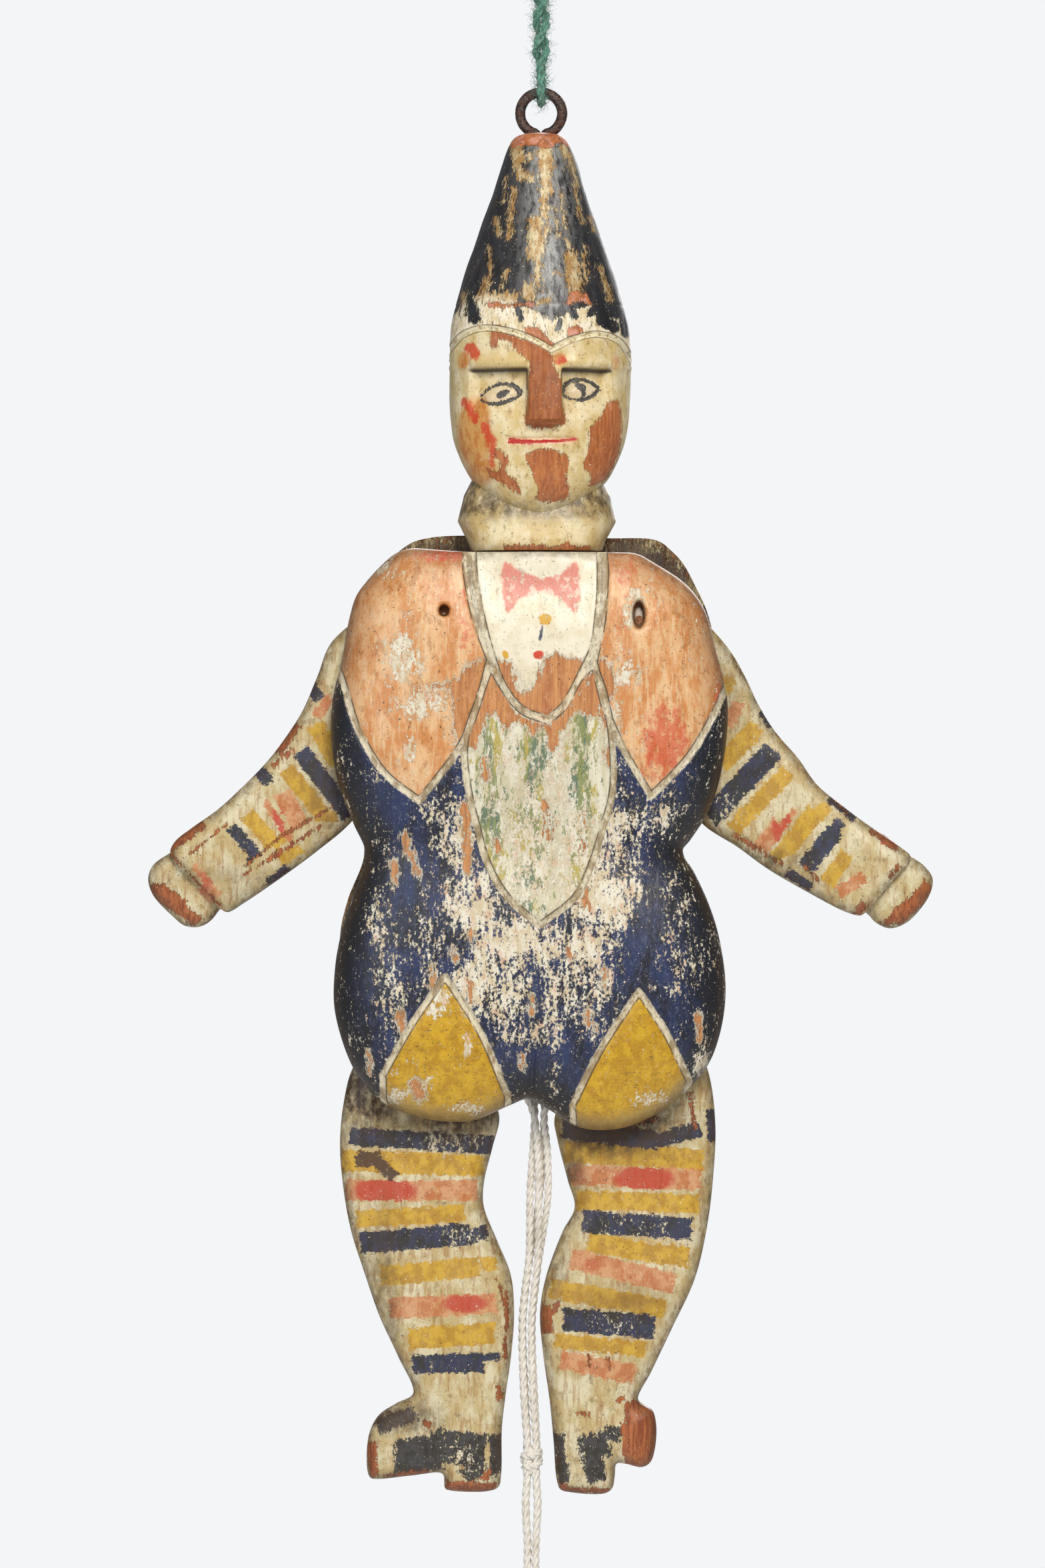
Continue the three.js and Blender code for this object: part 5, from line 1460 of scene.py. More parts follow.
class Shader:
    """A material's nodes, written as short expressions. Lengths are in millimetres."""

    def __init__(self, name):
        self.material = bpy.data.materials.new(name)
        self.material.use_nodes = True
        self.tree = self.material.node_tree
        self.tree.nodes.clear()
        self.place = self.tree.nodes.new("ShaderNodeTexCoord").outputs["Object"]

    def put(self, socket, value):
        if isinstance(value, bpy.types.NodeSocket):
            self.tree.links.new(value, socket)
        else:
            socket.default_value = linear(value) if isinstance(value, str) else value

    def math(self, kind, *values, clamp=False):
        node = self.tree.nodes.new("ShaderNodeMath")
        node.operation = kind
        node.use_clamp = clamp
        for socket, value in zip(node.inputs, values):
            self.put(socket, value)
        return node.outputs[0]

    def add(self, *values):
        total = values[0]
        for value in values[1:]:
            total = self.math("ADD", total, value)
        return total

    def times(self, a, b):
        return self.math("MULTIPLY", a, b)

    def less(self, a, b):
        """a, taken away where b is 1."""
        return self.math("MULTIPLY", a, self.math("SUBTRACT", 1.0, b), clamp=True)

    def mask(self, value, low, high):
        node = self.tree.nodes.new("ShaderNodeMapRange")
        node.interpolation_type = "SMOOTHSTEP"
        for key, v in (("Value", value), ("From Min", low), ("From Max", high)):
            self.put(node.inputs[key], v)
        return node.outputs[0]

    def mix(self, share, a, b):
        node = self.tree.nodes.new("ShaderNodeMix")
        node.data_type = "RGBA"
        self.put(node.inputs["Factor"], share)
        self.put(node.inputs[6], a)
        self.put(node.inputs[7], b)
        return node.outputs[2]

    def patches(self, under, over, noise_of, low, high, share=None):
        """One colour over another where noise, of that size, detail, roughness and seed, is high."""
        cover = self.mask(self.lumps(*noise_of), low, high)
        return self.mix(cover if share is None else self.times(cover, share), under, over)

    def attribute(self, name):
        node = self.tree.nodes.new("ShaderNodeAttribute")
        node.attribute_name = name
        return node.outputs["Fac"]

    def lumps(self, size, detail=3.0, rough=0.6, seed=0, distortion=0.0):
        """Noise about 0.5 with lumps of that size in x, y and z."""
        size = (size,) * 3 if isinstance(size, (int, float)) else size
        mapping = self.tree.nodes.new("ShaderNodeMapping")
        self.put(mapping.inputs["Vector"], self.place)
        mapping.inputs["Scale"].default_value = [1 / (s * MM) for s in size]
        mapping.inputs["Location"].default_value = (seed * 3.7, seed * 5.3, seed * 2.9)
        node = self.tree.nodes.new("ShaderNodeTexNoise")
        self.put(node.inputs["Vector"], mapping.outputs[0])
        settings = {"Scale": 1.0, "Detail": detail, "Roughness": rough, "Distortion": distortion}
        for key, value in settings.items():
            node.inputs[key].default_value = value
        return node.outputs["Fac"]

    def weave(self, seed, coarse=(8, 8, 12), streak=(1.0, 2.5, 7.5), speck=(0.55, 0.8, 0.95)):
        """The broken pattern in which old paint wears: patches, runs along the grain, and specks."""
        return self.add(
            self.times(self.lumps(coarse, 4, 0.65, seed), 0.3),
            self.times(self.lumps(streak, 5, 0.7, seed + 1), 0.36),
            self.times(self.lumps(speck, 3, 0.65, seed + 2), 0.34),
        )

    def wood(self, seed, light="#c0703c", dark="#8a4524", grain=(0.7, 0.7, 14), pale=0.35):
        fine = self.lumps(grain, 4, 0.6, seed, 0.4)
        colour = self.mix(self.mask(fine, 0.34, 0.66), dark, light)
        colour = self.patches(colour, "#a3441f", ((4, 4, 30), 2, 0.5, seed + 1), 0.52, 0.7, 0.3)
        colour = self.patches(colour, "#e2aa78", ((2.5, 2.5, 3.5), 4, 0.7, seed + 3), 0.5, 0.66, pale)
        return self.patches(colour, "#5a2f18", ((0.25, 0.4, 4), 2, 0.5, seed + 2), 0.62, 0.72, 0.5)

    def surface(
        self, colour, roughness, height=None, bump=0.12, metallic=0.0, coat=0.0, specular=0.5, sheen=0.0
    ):
        """The finished material; height is in units of bump, a length."""
        shader = self.tree.nodes.new("ShaderNodeBsdfPrincipled")
        self.put(shader.inputs["Base Color"], colour)
        self.put(shader.inputs["Roughness"], roughness)
        self.put(shader.inputs["Metallic"], metallic)
        shader.inputs["Coat Weight"].default_value = coat
        shader.inputs["Coat Roughness"].default_value = 0.28
        shader.inputs["Specular IOR Level"].default_value = specular
        shader.inputs["Sheen Weight"].default_value = sheen
        if height is not None:
            node = self.tree.nodes.new("ShaderNodeBump")
            node.inputs["Strength"].default_value = 1.0
            node.inputs["Distance"].default_value = bump * MM
            self.put(node.inputs["Height"], height)
            self.tree.links.new(node.outputs[0], shader.inputs["Normal"])
        out = self.tree.nodes.new("ShaderNodeOutputMaterial")
        self.tree.links.new(shader.outputs[0], out.inputs[0])
        return self.material


def painted(s, colour, worn_to_ground, worn_to_wood, wood, ground, darkening, seed):
    """Colour over ground over wood, cut by the two wear masks, darkened on top where the caller's mask holds
    (by stains, and by painted shade for some callers); and its relief.
    """
    laid = s.mix(worn_to_ground, colour, ground)
    laid = s.mix(worn_to_wood, laid, wood)
    lip = s.mask(s.lumps((0.8, 0.8, 1.2), 3, 0.6, seed + 7), 0.6, 0.68)
    laid = s.mix(s.times(lip, 0.16), laid, "#3a2c20")
    pits = s.mask(s.lumps((0.5, 0.5, 0.6), 2, 0.5, seed + 8), 0.7, 0.73)
    laid = s.mix(s.times(pits, 0.75), laid, "#2b2018")
    flecks = s.mask(s.lumps((0.42, 0.42, 0.6), 1, 0.5, seed + 9), 0.735, 0.76)
    laid = s.mix(s.times(flecks, 0.8), laid, "#f6f0dd")
    # Mottled darkening over the paint: stains, and painted shade where the caller's mask holds it
    mottle = s.lumps((2.4, 2.4, 3.4), 5, 0.7, seed + 10)
    laid = s.mix(s.math("MULTIPLY", darkening, s.mask(mottle, 0.2, 0.66), clamp=True), laid, "#4a3622")
    kept = s.math("SUBTRACT", 1.0, worn_to_ground)
    base = s.math("SUBTRACT", 1.0, worn_to_wood)
    height = s.add(
        s.times(s.times(kept, base), 0.5), s.times(base, 0.9),
        s.times(s.lumps((0.5, 0.5, 4.5), 3, 0.6, seed + 11), 0.55),
        s.times(s.lumps(0.6, 2, 0.6, seed + 12), 0.35), s.times(pits, -0.8),
    )
    return laid, height


def navy_cloth(s, rim):
    navy = s.patches("#161927", "#25335c", ((5, 5, 12), 4, 0.6, 3), 0.36, 0.62)
    navy = s.patches(navy, "#5d6584", ((0.7, 0.7, 1.6), 5, 0.75, 34), 0.5, 0.64, 0.55)
    # Painted shade: the navy darkens to near black over the last 14 mm towards the board's rounded sides
    navy = s.mix(s.mask(rim, 14, 1), navy, "#1a1a1d")
    return navy


def waistcoat_cloth(s):
    vest = s.patches("#f1ebd4", "#dbd2b2", ((3, 3, 20), 3, 0.6, 5), 0.4, 0.6)
    hue = s.lumps((3.4, 3.4, 14), 2, 0.5, 6)
    stripe_hue = s.mix(s.mask(hue, 0.42, 0.48), "#44684c", "#7c8840")
    stripe_hue = s.mix(s.mask(hue, 0.56, 0.6), stripe_hue, "#bba733")
    runs = s.add(s.lumps((1.7, 1.7, 5), 5, 0.75, 8), s.times(s.attribute("bands"), 0.14))
    vest = s.mix(s.times(s.mask(runs, 0.56, 0.63), 0.85), vest, stripe_hue)
    return vest


def shirt_cloth(s, weave, bow_depth):
    shirt = s.patches("#fbf3db", "#efe3c4", (6, 3, 0.6, 9), 0.4, 0.65)
    bow = s.patches("#e57867", "#f3c9b2", ((1.8, 1.8, 2.2), 3, 0.6, 10), 0.5, 0.62)
    shirt = s.mix(s.times(s.mask(s.add(bow_depth, s.times(weave, 5.0)), 2.2, 3.1), 0.85), shirt, bow)
    for key, code in (("dot_ochre", "#e3ae35"), ("dot_navy", "#333f5c"), ("dot_red", "#dc4a32")):
        shirt = s.mix(s.mask(s.add(s.attribute(key), s.times(weave, 2.4)), 1.1, 1.5), shirt, code)
    return shirt


def chest_skin(s, rim):
    chest = s.patches("#da9152", "#f3c490", ((4, 4, 9), 4, 0.65, 11), 0.38, 0.62)
    chest = s.patches(chest, "#f6dcb0", ((0.8, 0.8, 9), 5, 0.7, 12), 0.5, 0.62, 0.5)
    chest = s.patches(chest, "#a8692f", ((4, 4, 6), 5, 0.75, 32), 0.54, 0.64, 0.5)
    # Painted shade: the skin browns towards the board's rounded sides, over the last 10 mm
    chest = s.mix(s.times(s.mask(rim, 10, 1), 0.5), chest, "#a05c26")
    red = s.add(s.attribute("redness"), s.times(s.lumps((1.8, 1.8, 2.6), 5, 0.7, 13), 1.3))
    chest = s.mix(s.times(s.mask(red, 0.98, 1.3), 0.72), chest, "#da4f33")
    chest = s.patches(chest, "#402615", (1.1, 2, 0.5, 38), 0.7, 0.73, 0.7)
    return chest


def ochre_cloth(s, rim, weave):
    ochre = s.patches("#c29012", "#dcae20", ((3, 3, 3.5), 5, 0.7, 14), 0.38, 0.62)
    ochre = s.patches(ochre, "#8d6c24", ((2.5, 2.5, 2), 5, 0.75, 41), 0.56, 0.66, 0.5)
    ochre = s.patches(ochre, "#4d3a18", ((1.3, 0.9, 0.5), 4, 0.75, 15), 0.6, 0.66, 0.8)
    ochre = s.mix(s.times(s.mask(s.add(rim, s.times(weave, 6.0)), 9.0, 3.5), 0.75), ochre, "#a8905e")
    return ochre


def costume_colours(s, zone, rim, weave, bow_depth):
    """The paint of every panel, laid from the lowest to the highest."""
    navy, vest, shirt = navy_cloth(s, rim), waistcoat_cloth(s), shirt_cloth(s, weave, bow_depth)
    chest, ochre = chest_skin(s, rim), ochre_cloth(s, rim, weave)
    colour = s.mix(zone["waistcoat"], navy, vest)
    colour = s.mix(zone["dickey"], colour, shirt)
    colour = s.mix(zone["lapel"], colour, chest)
    colour = s.mix(zone["ochre"], colour, ochre)
    return colour


def costume_wear(s, zone, pale, weave, weave_two):
    """Where the paint has worn to its ground, and where to the wood."""
    chalk, bare = s.attribute("chalk"), s.attribute("bare")
    chalk = s.less(chalk, s.times(zone["ochre"], 0.25))
    to_ground = s.mask(s.add(weave, s.times(chalk, 0.115), s.times(pale, -0.02)), 0.55, 0.6)
    torn = s.add(bare, s.times(weave_two, 6.0), s.times(s.lumps((0.9, 0.9, 2.8), 5, 0.75, 36), 7.0), -6.7)
    to_ground = s.math("MAXIMUM", to_ground, s.times(s.mask(torn, -0.95, -0.45), 0.85))
    to_wood = s.math("MAXIMUM", s.mask(torn, -0.1, 0.12), s.mask(weave_two, 0.655, 0.67))
    return to_ground, to_wood


def costume_grooves(s, laid, within):
    """The filler in the carved lines, and the dark line beside each."""
    groove = s.attribute("groove")
    wobble = s.add(s.times(s.lumps((1.6, 1.6, 2.2), 4, 0.7, 39), 1.3), -0.65)
    cut = s.mask(s.add(groove, wobble), 1.05, 0.8)
    filler = s.patches("#f0e6c9", "#b09c78", ((3, 3, 6), 4, 0.65, 17), 0.44, 0.6)
    filler = s.patches(filler, "#7a6648", ((0.6, 0.6, 1.5), 4, 0.7, 30), 0.53, 0.64, 0.6)
    laid = s.mix(s.times(cut, 0.9), laid, filler)
    beside_groove = s.mask(s.math("ABSOLUTE", s.add(groove, -0.85)), 0.3, 0.0)
    edge_line = s.times(beside_groove, s.add(0.25, s.times(within, 0.7)))
    laid = s.mix(s.times(edge_line, s.mask(s.lumps((3, 3, 5), 3, 0.6, 31), 0.36, 0.5)), laid, "#4a3a2b")
    return laid


def costume_pits(s, laid, weave):
    """The dark holes over the shoulder pins, with a pale glint inside."""
    pit = s.attribute("pit")
    laid = s.mix(s.times(s.mask(pit, -0.08, 0.2), 0.85), laid, "#4a3324")
    laid = s.mix(s.times(s.mask(s.add(pit, s.times(weave, 0.6)), 0.72, 0.85), 0.75), laid, "#d3c8b8")
    return laid


def costume_paint():
    s = Shader("costume_paint")
    weave = s.weave(1, (8, 8, 12), (1.2, 1.5, 3.4), (0.7, 0.7, 0.9))
    weave_two = s.weave(20, (6, 6, 9), (0.8, 2, 10), (0.7, 0.8, 1.2))
    rim = s.attribute("rim")
    depth = {key: s.attribute(key) for key in ("dickey", "lapel", "waistcoat", "ochre", "bow")}
    zone = {key: s.mask(value, -0.05, 0.1) for key, value in depth.items()}
    pale = s.math("MAXIMUM", s.math("MAXIMUM", zone["dickey"], zone["lapel"]), zone["ochre"])
    colour = costume_colours(s, zone, rim, weave, depth["bow"])
    to_ground, to_wood = costume_wear(s, zone, pale, weave, weave_two)
    ground = s.patches("#f2ebd6", "#ddcba8", ((2, 2, 4), 4, 0.65, 16), 0.4, 0.62)
    ground = s.patches(ground, "#e2a88a", ((2.5, 2.5, 5), 4, 0.7, 37), 0.55, 0.65, 0.5)
    wood = s.wood(18, "#dd9c60", "#b87642")
    # Darker towards the board's rim, over its last 3.2 mm
    darkening = s.times(s.mask(rim, 3.2, 0), 0.6)
    laid, height = painted(s, colour, to_ground, to_wood, wood, ground, darkening, 19)
    laid = costume_grooves(s, laid, s.math("MAXIMUM", pale, zone["waistcoat"]))
    laid = costume_pits(s, laid, weave)
    rough = s.add(0.36, s.times(to_ground, 0.2), s.times(s.lumps(2.0, 3, 0.6, 40), 0.14))
    return s.surface(laid, rough, height, 0.16, coat=0.2)


def striped_paint(name, seed):
    s = Shader(name)
    weave, weave_two = s.weave(seed, (7, 7, 9)), s.weave(seed + 20, (6, 6, 9))
    ragged = s.add(s.times(s.lumps((1.5, 1.5, 1.1), 5, 0.72, seed + 14), 4.4), -2.2)
    streaky = s.add(s.times(weave, 11.0), -5.5)
    cream = s.patches("#e8ddb8", "#cdb680", ((5, 5, 8), 4, 0.65, seed + 3), 0.36, 0.62)
    cream = s.patches(cream, "#a87843", ((1.2, 1.2, 7), 4, 0.7, seed + 4), 0.5, 0.64, 0.6)
    cream = s.patches(cream, "#846a44", ((2.6, 2.6, 3), 5, 0.75, seed + 12), 0.54, 0.66, 0.55)
    colour = cream
    navy = s.patches("#181b28", "#262f52", ((3, 3, 5), 4, 0.65, seed + 5), 0.38, 0.6)
    yellow = s.patches("#bd8c18", "#dcae2b", ((3, 3, 4), 4, 0.65, seed + 6), 0.4, 0.6)
    red = s.patches("#c9743f", "#dfa272", ((3, 3, 4), 4, 0.7, seed + 7), 0.4, 0.6)
    red = s.mix(s.mask(s.add(s.attribute("vivid"), s.times(weave, 0.8)), 0.75, 1.1), red, "#c93a24")
    black = s.patches("#1c1b1e", "#3a3a40", (2, 4, 0.65, seed + 8), 0.4, 0.6)
    strokes = (
        ("ochre", yellow, 0.9), ("red", red, 0.88), ("navy", navy, 0.96), ("black", black, 0.96),
        ("brown", "#4a342f", 0.9),
    )
    inked = 0.0
    for key, paint, strength in strokes:
        edge = streaky if key == "black" else ragged
        share = s.times(s.mask(s.add(s.attribute(key), edge), -0.4, -0.05), strength)
        colour = s.mix(share, colour, paint)
        if key in ("navy", "black"):
            inked = s.math("MAXIMUM", inked, share)
    chalk, bare, rim = s.attribute("chalk"), s.attribute("bare"), s.attribute("rim")
    specks = s.times(s.lumps((0.9, 0.9, 1.3), 4, 0.75, seed + 15), 0.5)
    worn = s.add(s.times(weave, 0.5), specks, s.times(chalk, 0.12), s.times(inked, 0.035))
    to_ground = s.mask(worn, 0.605, 0.65)
    wood_edge = s.add(bare, s.times(weave_two, 8.0), -4.2)
    spots = s.mask(s.add(weave_two, s.times(s.mask(rim, 2.6, 0.3), 0.1)), 0.66, 0.68)
    to_wood = s.math("MAXIMUM", s.mask(wood_edge, -0.1, 0.15), spots)
    ground = s.patches("#efe6cb", "#dccba0", ((2, 2, 4), 4, 0.65, seed + 9), 0.42, 0.6)
    # Darker with the spots of dirt and painted shade, and towards the rim over its last 3.4 mm
    darkening = s.math("MAXIMUM", s.times(s.attribute("grime"), 1.15), s.times(s.mask(rim, 3.4, 0), 0.72))
    wood = s.wood(seed + 30, pale=0.15)
    laid, height = painted(s, colour, to_ground, to_wood, wood, ground, darkening, seed + 31)
    rough = s.add(0.38, s.times(to_ground, 0.15), s.times(s.lumps(2.0, 3, 0.6, seed + 50), 0.14))
    return s.surface(laid, rough, height, 0.14, coat=0.15)


def face_colours(s, weave, ragged):
    """The face's paint, with its flush, red marks, eyes, mouth and inked lines."""
    face = s.patches("#f4e4ba", "#dfc587", ((5, 5, 6), 3, 0.6, 63), 0.36, 0.62)
    face = s.patches(face, "#97743f", ((1.6, 1.6, 2.2), 5, 0.72, 64), 0.545, 0.66, 0.6)
    blush = s.patches("#cc7829", "#dda257", ((2, 2, 4), 3, 0.6, 65), 0.4, 0.6)
    flushed = s.mask(s.add(s.attribute("blush"), s.times(weave, 0.8)), 0.62, 1.1)
    face = s.mix(s.times(flushed, 0.9), face, blush)
    fuzzy = s.add(s.times(s.lumps((1.2, 1.2, 1.6), 4, 0.7, 77), 3.0), -1.5)
    face = s.mix(s.times(s.mask(s.add(s.attribute("red"), fuzzy), -0.45, 0.4), 0.9), face, "#d4451f")
    eyeball = s.mask(s.attribute("eye"), 0.2, 0.6)
    face = s.mix(s.times(eyeball, 0.6), face, "#efd9b6")
    face = s.mix(s.times(s.mask(s.attribute("mouth"), -1.2, 0.2), 0.35), face, "#df8f6a")
    face = s.mix(s.mask(s.add(s.attribute("mouth"), s.times(ragged, 0.35)), -0.12, 0.14), face, "#c4302a")
    inked = s.mask(s.add(s.attribute("ink"), s.times(ragged, 0.5)), -0.12, 0.1)
    face = s.mix(s.times(inked, 0.92), face, "#2a2e38")
    # painted shadow under the brow ledges and beside the nose
    face = s.mix(s.times(s.mask(s.attribute("ledge"), -0.45, 0.15), 0.92), face, "#33241a")
    return face


def hat_black(s):
    black = s.patches("#18181c", "#303136", ((3, 3, 8), 4, 0.6, 66), 0.36, 0.64)
    black = s.patches(black, "#4d3820", ((1.6, 1.6, 5), 5, 0.75, 74), 0.54, 0.64, 0.5)
    # Painted sheen: pale grey over the black down the middle of the hat's front
    black = s.patches(black, "#a6a5a2", ((1.5, 1.5, 6), 4, 0.7, 76), 0.36, 0.6, s.attribute("dull"))
    return black


def hat_ground(s, hat):
    """The ground under the hat's paint: whiter on the band, brown and stained above it."""
    ground = s.patches("#ecdcb0", "#bd9152", ((1.6, 1.6, 5), 5, 0.7, 67), 0.38, 0.6)
    band_ground = s.patches("#fcf2d8", "#e6d0a2", ((1.6, 1.6, 4), 4, 0.7, 75), 0.42, 0.62)
    ground = s.mix(s.mask(hat, 9.5, 6.5), ground, band_ground)
    ground = s.patches(ground, "#5b4128", ((0.7, 0.7, 2.6), 4, 0.7, 73), 0.56, 0.64, 0.75)
    # Away from the painted sheen the crown's ground turns browner: amber varnish, and painted shade on the
    # hat's sides
    amber = s.times(s.math("SUBTRACT", 1.0, s.attribute("dull"), clamp=True), s.mask(hat, 7, 11))
    ground = s.mix(s.times(amber, 0.5), ground, "#8f6a36")
    return ground


def hat_cover(s, hat, weave, ragged, torn):
    """Where the hat's black paint is still on."""
    band = s.mask(s.add(hat, s.times(ragged, 1.6)), 7.4, 7.8)
    kept = s.mask(s.add(s.attribute("kept"), s.times(ragged, 0.75)), -0.2, 0.15)
    paint_on = s.math("MAXIMUM", band, s.times(kept, s.mask(hat, 0.6, 1.2)))
    rubbed = s.mask(s.add(s.attribute("worn"), torn), -0.2, 0.25)
    rubbed = s.math("MAXIMUM", rubbed, s.mask(weave, 0.6, 0.62))
    return s.less(paint_on, rubbed)


def head_wood(s, above, nose):
    wood = s.wood(68, "#cd8049", "#a95e32", (0.8, 0.8, 9), 0.15)
    nose_wood = s.wood(82, "#a9601f", "#7e3d12", (0.8, 0.8, 6), 0.05)
    wood = s.mix(s.times(nose, 0.7), wood, nose_wood)
    wood = s.patches(wood, "#e0a08c", ((3, 3, 4), 3, 0.6, 69), 0.5, 0.6, s.times(above, 0.6))
    return wood


def hairline_groove(s, laid):
    """The filler in the line carved round the head, with its darker edges."""
    groove = s.attribute("groove")
    cut = s.mask(groove, 0.85, 0.6)
    laid = s.mix(s.times(cut, 0.95), laid, s.patches("#f6ebc6", "#b99f6a", (1.2, 3, 0.6, 70), 0.5, 0.64))
    laid = s.mix(s.times(s.mask(s.math("ABSOLUTE", s.add(groove, -0.85)), 0.26, 0.02), 0.72), laid, "#5f472a")
    laid = s.mix(s.times(s.mask(groove, 0.2, 0.02), 0.35), laid, "#8a6f44")
    return laid


def head_paint():
    s = Shader("head_paint")
    weave = s.weave(61, (5, 5, 9), (0.8, 0.8, 6.5), (0.45, 0.45, 0.8))
    weave_two = s.weave(71, (5, 5, 7), (0.8, 0.8, 4), (0.4, 0.4, 0.5))
    hat, nose = s.attribute("hat"), s.attribute("nose")
    above = s.mask(hat, -0.1, 0.1)
    ragged = s.add(s.times(weave, 7.0), -3.5)
    torn = s.add(s.times(s.lumps((0.55, 0.55, 3.4), 5, 0.75, 72), 8.0), -4.1)
    cap, ground = hat_cover(s, hat, weave, ragged, torn), hat_ground(s, hat)
    crown = s.mix(s.math("SUBTRACT", 1.0, cap), hat_black(s), ground)
    colour = s.mix(above, face_colours(s, weave, ragged), crown)
    bare = s.add(s.attribute("bare"), s.times(weave_two, 3.4), s.times(torn, 0.5), -1.8)
    to_wood = s.math("MAXIMUM", s.mask(bare, -0.05, 0.12), s.times(above, s.mask(weave_two, 0.64, 0.655)))
    # Darkened by dirt and by painted shade under the brows, beside the nose and under the jaw
    darkening = s.times(s.attribute("grime"), 0.9)
    wood = head_wood(s, above, nose)
    laid, height = painted(s, colour, 0.0, to_wood, wood, ground, darkening, 80)
    laid = hairline_groove(s, laid)
    height = s.add(height, s.times(cap, 0.6))
    open_wood = s.times(above, s.math("SUBTRACT", 1.0, cap))
    rough = s.add(0.33, s.times(s.lumps(2.0, 3, 0.6, 90), 0.16), s.times(open_wood, 0.1), s.times(nose, 0.25))
    return s.surface(laid, rough, height, 0.13, coat=0.08)


def back_wood():
    s = Shader("back_wood")
    weave, weave_two = s.weave(101), s.weave(121, (10, 10, 18), (0.9, 2, 12))
    colour = s.patches("#554c45", "#85755f", ((6, 6, 16), 4, 0.65, 103), 0.36, 0.62)
    rim = s.attribute("rim")
    to_ground = s.mask(s.add(weave, s.times(s.mask(rim, 5, 0.4), 0.1)), 0.57, 0.61)
    to_wood = s.mask(s.add(weave_two, s.times(s.mask(rim, 2, 0.2), 0.03)), 0.54, 0.57)
    ground = s.patches("#cfbd92", "#a08b62", ((2, 2, 4), 4, 0.65, 104), 0.42, 0.6)
    wood = s.wood(105, "#9a6238", "#5f351d", (0.9, 2, 26))
    laid, height = painted(s, colour, to_ground, to_wood, wood, ground, 0.45, 106)
    rough = s.add(0.52, s.times(s.lumps(2.0, 3, 0.6, 125), 0.2))
    return s.surface(laid, rough, height, 0.2)


def raw_wood(name, seed):
    s = Shader(name)
    wood = s.wood(seed, "#a76c42", "#6c3c22", (0.8, 6, 0.8))
    mottle = s.mask(s.lumps((2, 2, 2), 4, 0.65, seed + 5), 0.42, 0.66)
    laid = s.mix(s.times(mottle, 0.55), wood, "#3a2a1e")
    height = s.add(s.lumps((0.5, 3, 0.5), 3, 0.6, seed + 6), s.times(s.lumps(0.5, 2, 0.6, seed + 7), 0.5))
    return s.surface(laid, s.add(0.55, s.times(mottle, 0.15)), height, 0.15)


def rusty_iron(name):
    s = Shader(name)
    rust = s.mask(s.lumps((1.4, 1.4, 1.4), 5, 0.7, 131), 0.47, 0.62)
    dark = s.patches("#3a302e", "#6e605c", (0.7, 4, 0.65, 132), 0.4, 0.62)
    laid = s.mix(s.times(rust, 0.75), dark, "#5e3524")
    laid = s.patches(laid, "#a18a7c", (0.4, 3, 0.6, 133), 0.6, 0.68, 0.5)
    height = s.add(s.times(s.lumps(0.8, 4, 0.7, 134), 1.0), s.times(s.lumps(0.3, 2, 0.6, 135), 0.5))
    metal = s.math("SUBTRACT", 0.75, s.times(rust, 0.6))
    return s.surface(laid, s.add(0.44, s.times(rust, 0.3)), height, 0.22, metallic=metal)


def cord_fibre(name, light, shade, fleck):
    s = Shader(name)
    strand = s.lumps((0.4, 0.4, 2.6), 5, 0.75, 141)
    colour = s.mix(s.mask(strand, 0.4, 0.62), light, shade)
    colour = s.patches(colour, fleck, ((0.5, 0.5, 2.5), 3, 0.6, 142), 0.57, 0.66, 0.5)
    colour = s.patches(colour, fleck, (7, 3, 0.6, 143), 0.5, 0.7, 0.35)
    height = s.add(s.times(strand, 1.0), s.times(s.lumps(0.3, 2, 0.6, 144), 0.6))
    return s.surface(colour, 0.85, height, 0.14, specular=0.25, sheen=0.25)


def fixed_parts():
    """Pins and spacers keep their CAD shape and each take a raw wood of its own."""
    parts = ("waist_spacer", "arm_pin", "leg_pin")
    nodes = [f"{part}_{side}" for part in parts for side in ("left", "right")]
    for k, node in enumerate(nodes):
        piece = frame["nodes"][node]
        piece.data.materials.clear()
        piece.data.materials.append(raw_wood(f"inner_{node}", 150 + 9 * k))


# Light, floor and the empty pale room

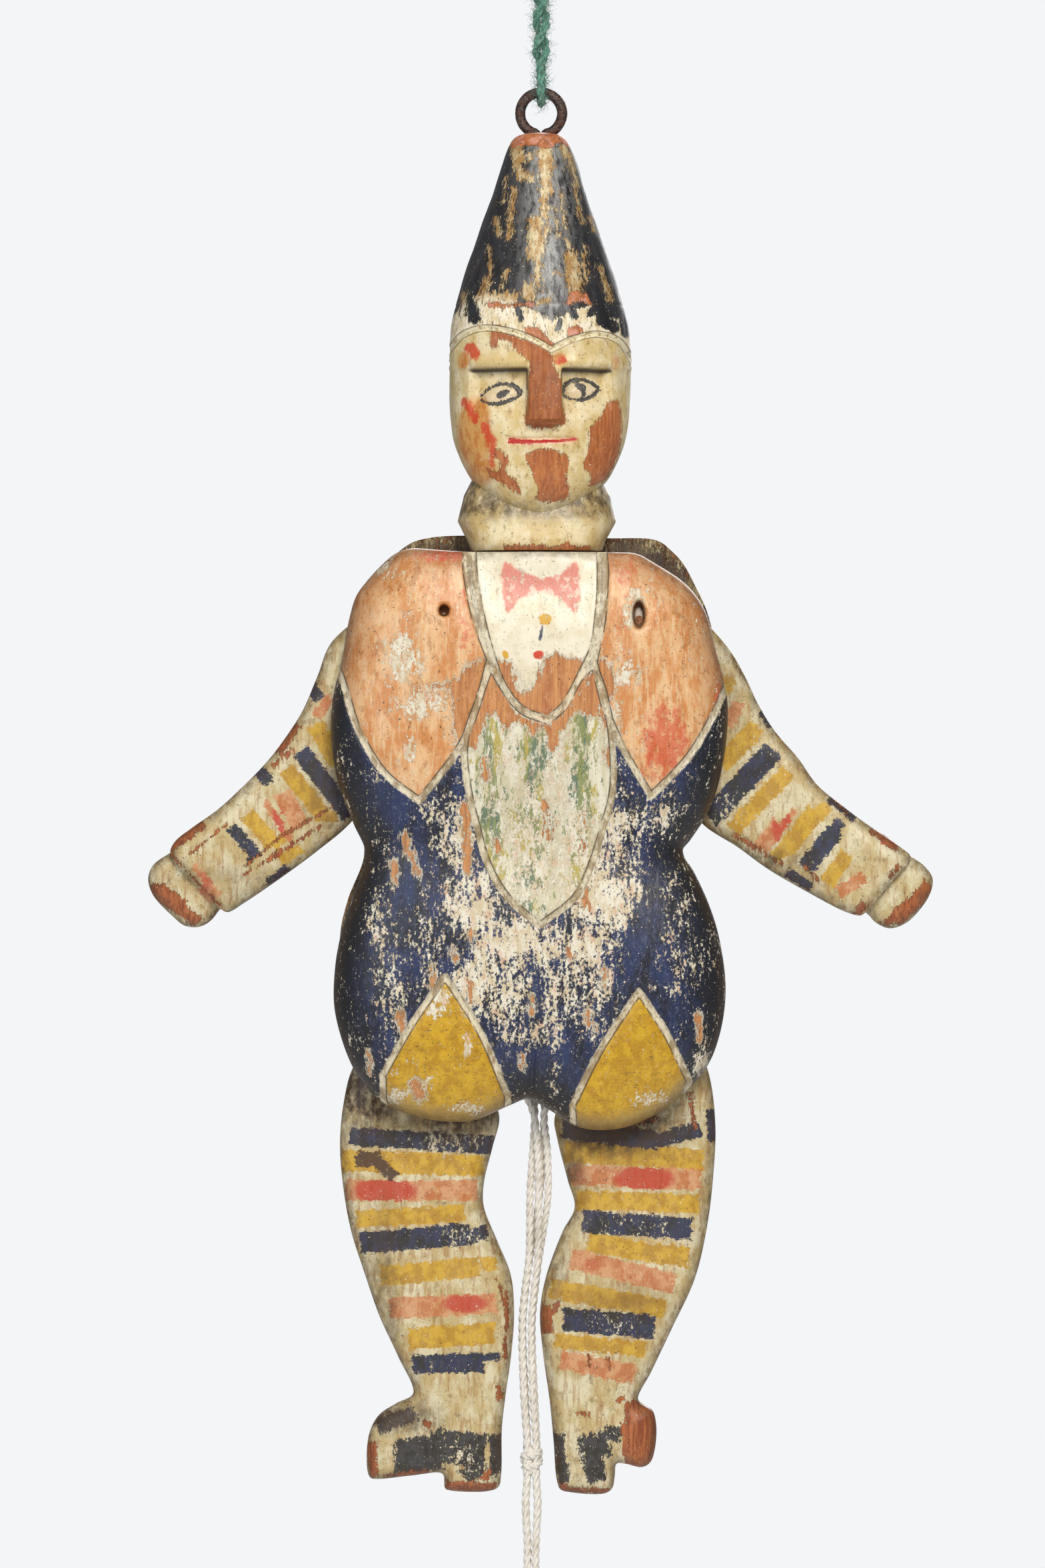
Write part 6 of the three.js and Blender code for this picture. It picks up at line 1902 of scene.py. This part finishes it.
def lamp(name, place, aim, size, power, colour):
    data = bpy.data.lights.new(name, "AREA")
    data.shape = "DISK"
    data.size = size
    data.energy = power
    data.color = linear(colour)[:3]
    light = bpy.data.objects.new(name, data)
    light.location = place
    light.rotation_euler = (Vector(aim) - Vector(place)).to_track_quat("-Z", "Y").to_euler()
    scene.collection.objects.link(light)


def studio():
    scene.view_settings.view_transform = "Standard"
    scene.view_settings.look = "None"
    centre = (0, 0, -0.17)
    lamp("key", (0.3, -1.75, 0.95), centre, 0.7, 26.5, "#fffaf2")
    lamp("fill", (-1.2, -1.7, 0.2), centre, 0.9, 7, "#f6f9ff")
    lamp("top", (0.1, -0.15, 1.5), centre, 0.9, 5, "#ffffff")
    lamp("behind", (0.3, 1.8, 0.5), centre, 1.1, 15, "#ffffff")
    world = bpy.data.worlds.new("studio")
    scene.world = world
    world.use_nodes = True
    tree = world.node_tree
    tree.nodes.clear()
    rays = tree.nodes.new("ShaderNodeLightPath")
    seen, lit = tree.nodes.new("ShaderNodeBackground"), tree.nodes.new("ShaderNodeBackground")
    seen.inputs["Color"].default_value = linear("#f4f5f7")
    lit.inputs["Color"].default_value = linear("#f4f5f7")
    lit.inputs["Strength"].default_value = 0.24
    blend = tree.nodes.new("ShaderNodeMixShader")
    out = tree.nodes.new("ShaderNodeOutputWorld")
    tree.links.new(rays.outputs["Is Camera Ray"], blend.inputs[0])
    tree.links.new(lit.outputs[0], blend.inputs[1])
    tree.links.new(seen.outputs[0], blend.inputs[2])
    tree.links.new(blend.outputs[0], out.inputs[0])


FLOOR_BELOW = 0.62
FLOOR_RADIUS = 1.2
FLOOR_SIDES = 96


def floor():
    turn = np.linspace(0, 2 * math.pi, FLOOR_SIDES, endpoint=False)
    ring = [(FLOOR_RADIUS * math.cos(a), FLOOR_RADIUS * math.sin(a), -FLOOR_BELOW) for a in turn]
    mesh = bpy.data.meshes.new("studio_floor")
    mesh.from_pydata(ring, [], [tuple(range(FLOOR_SIDES))])
    disc = bpy.data.objects.new("studio_floor", mesh)
    scene.collection.objects.link(disc)
    s = Shader("floor_paint")
    disc.data.materials.append(s.surface("#eeeff1", 0.85))


front_board()
back_board()
limbs()
head()
screw_eye()
strings()
twine()
fixed_parts()
floor()
studio()
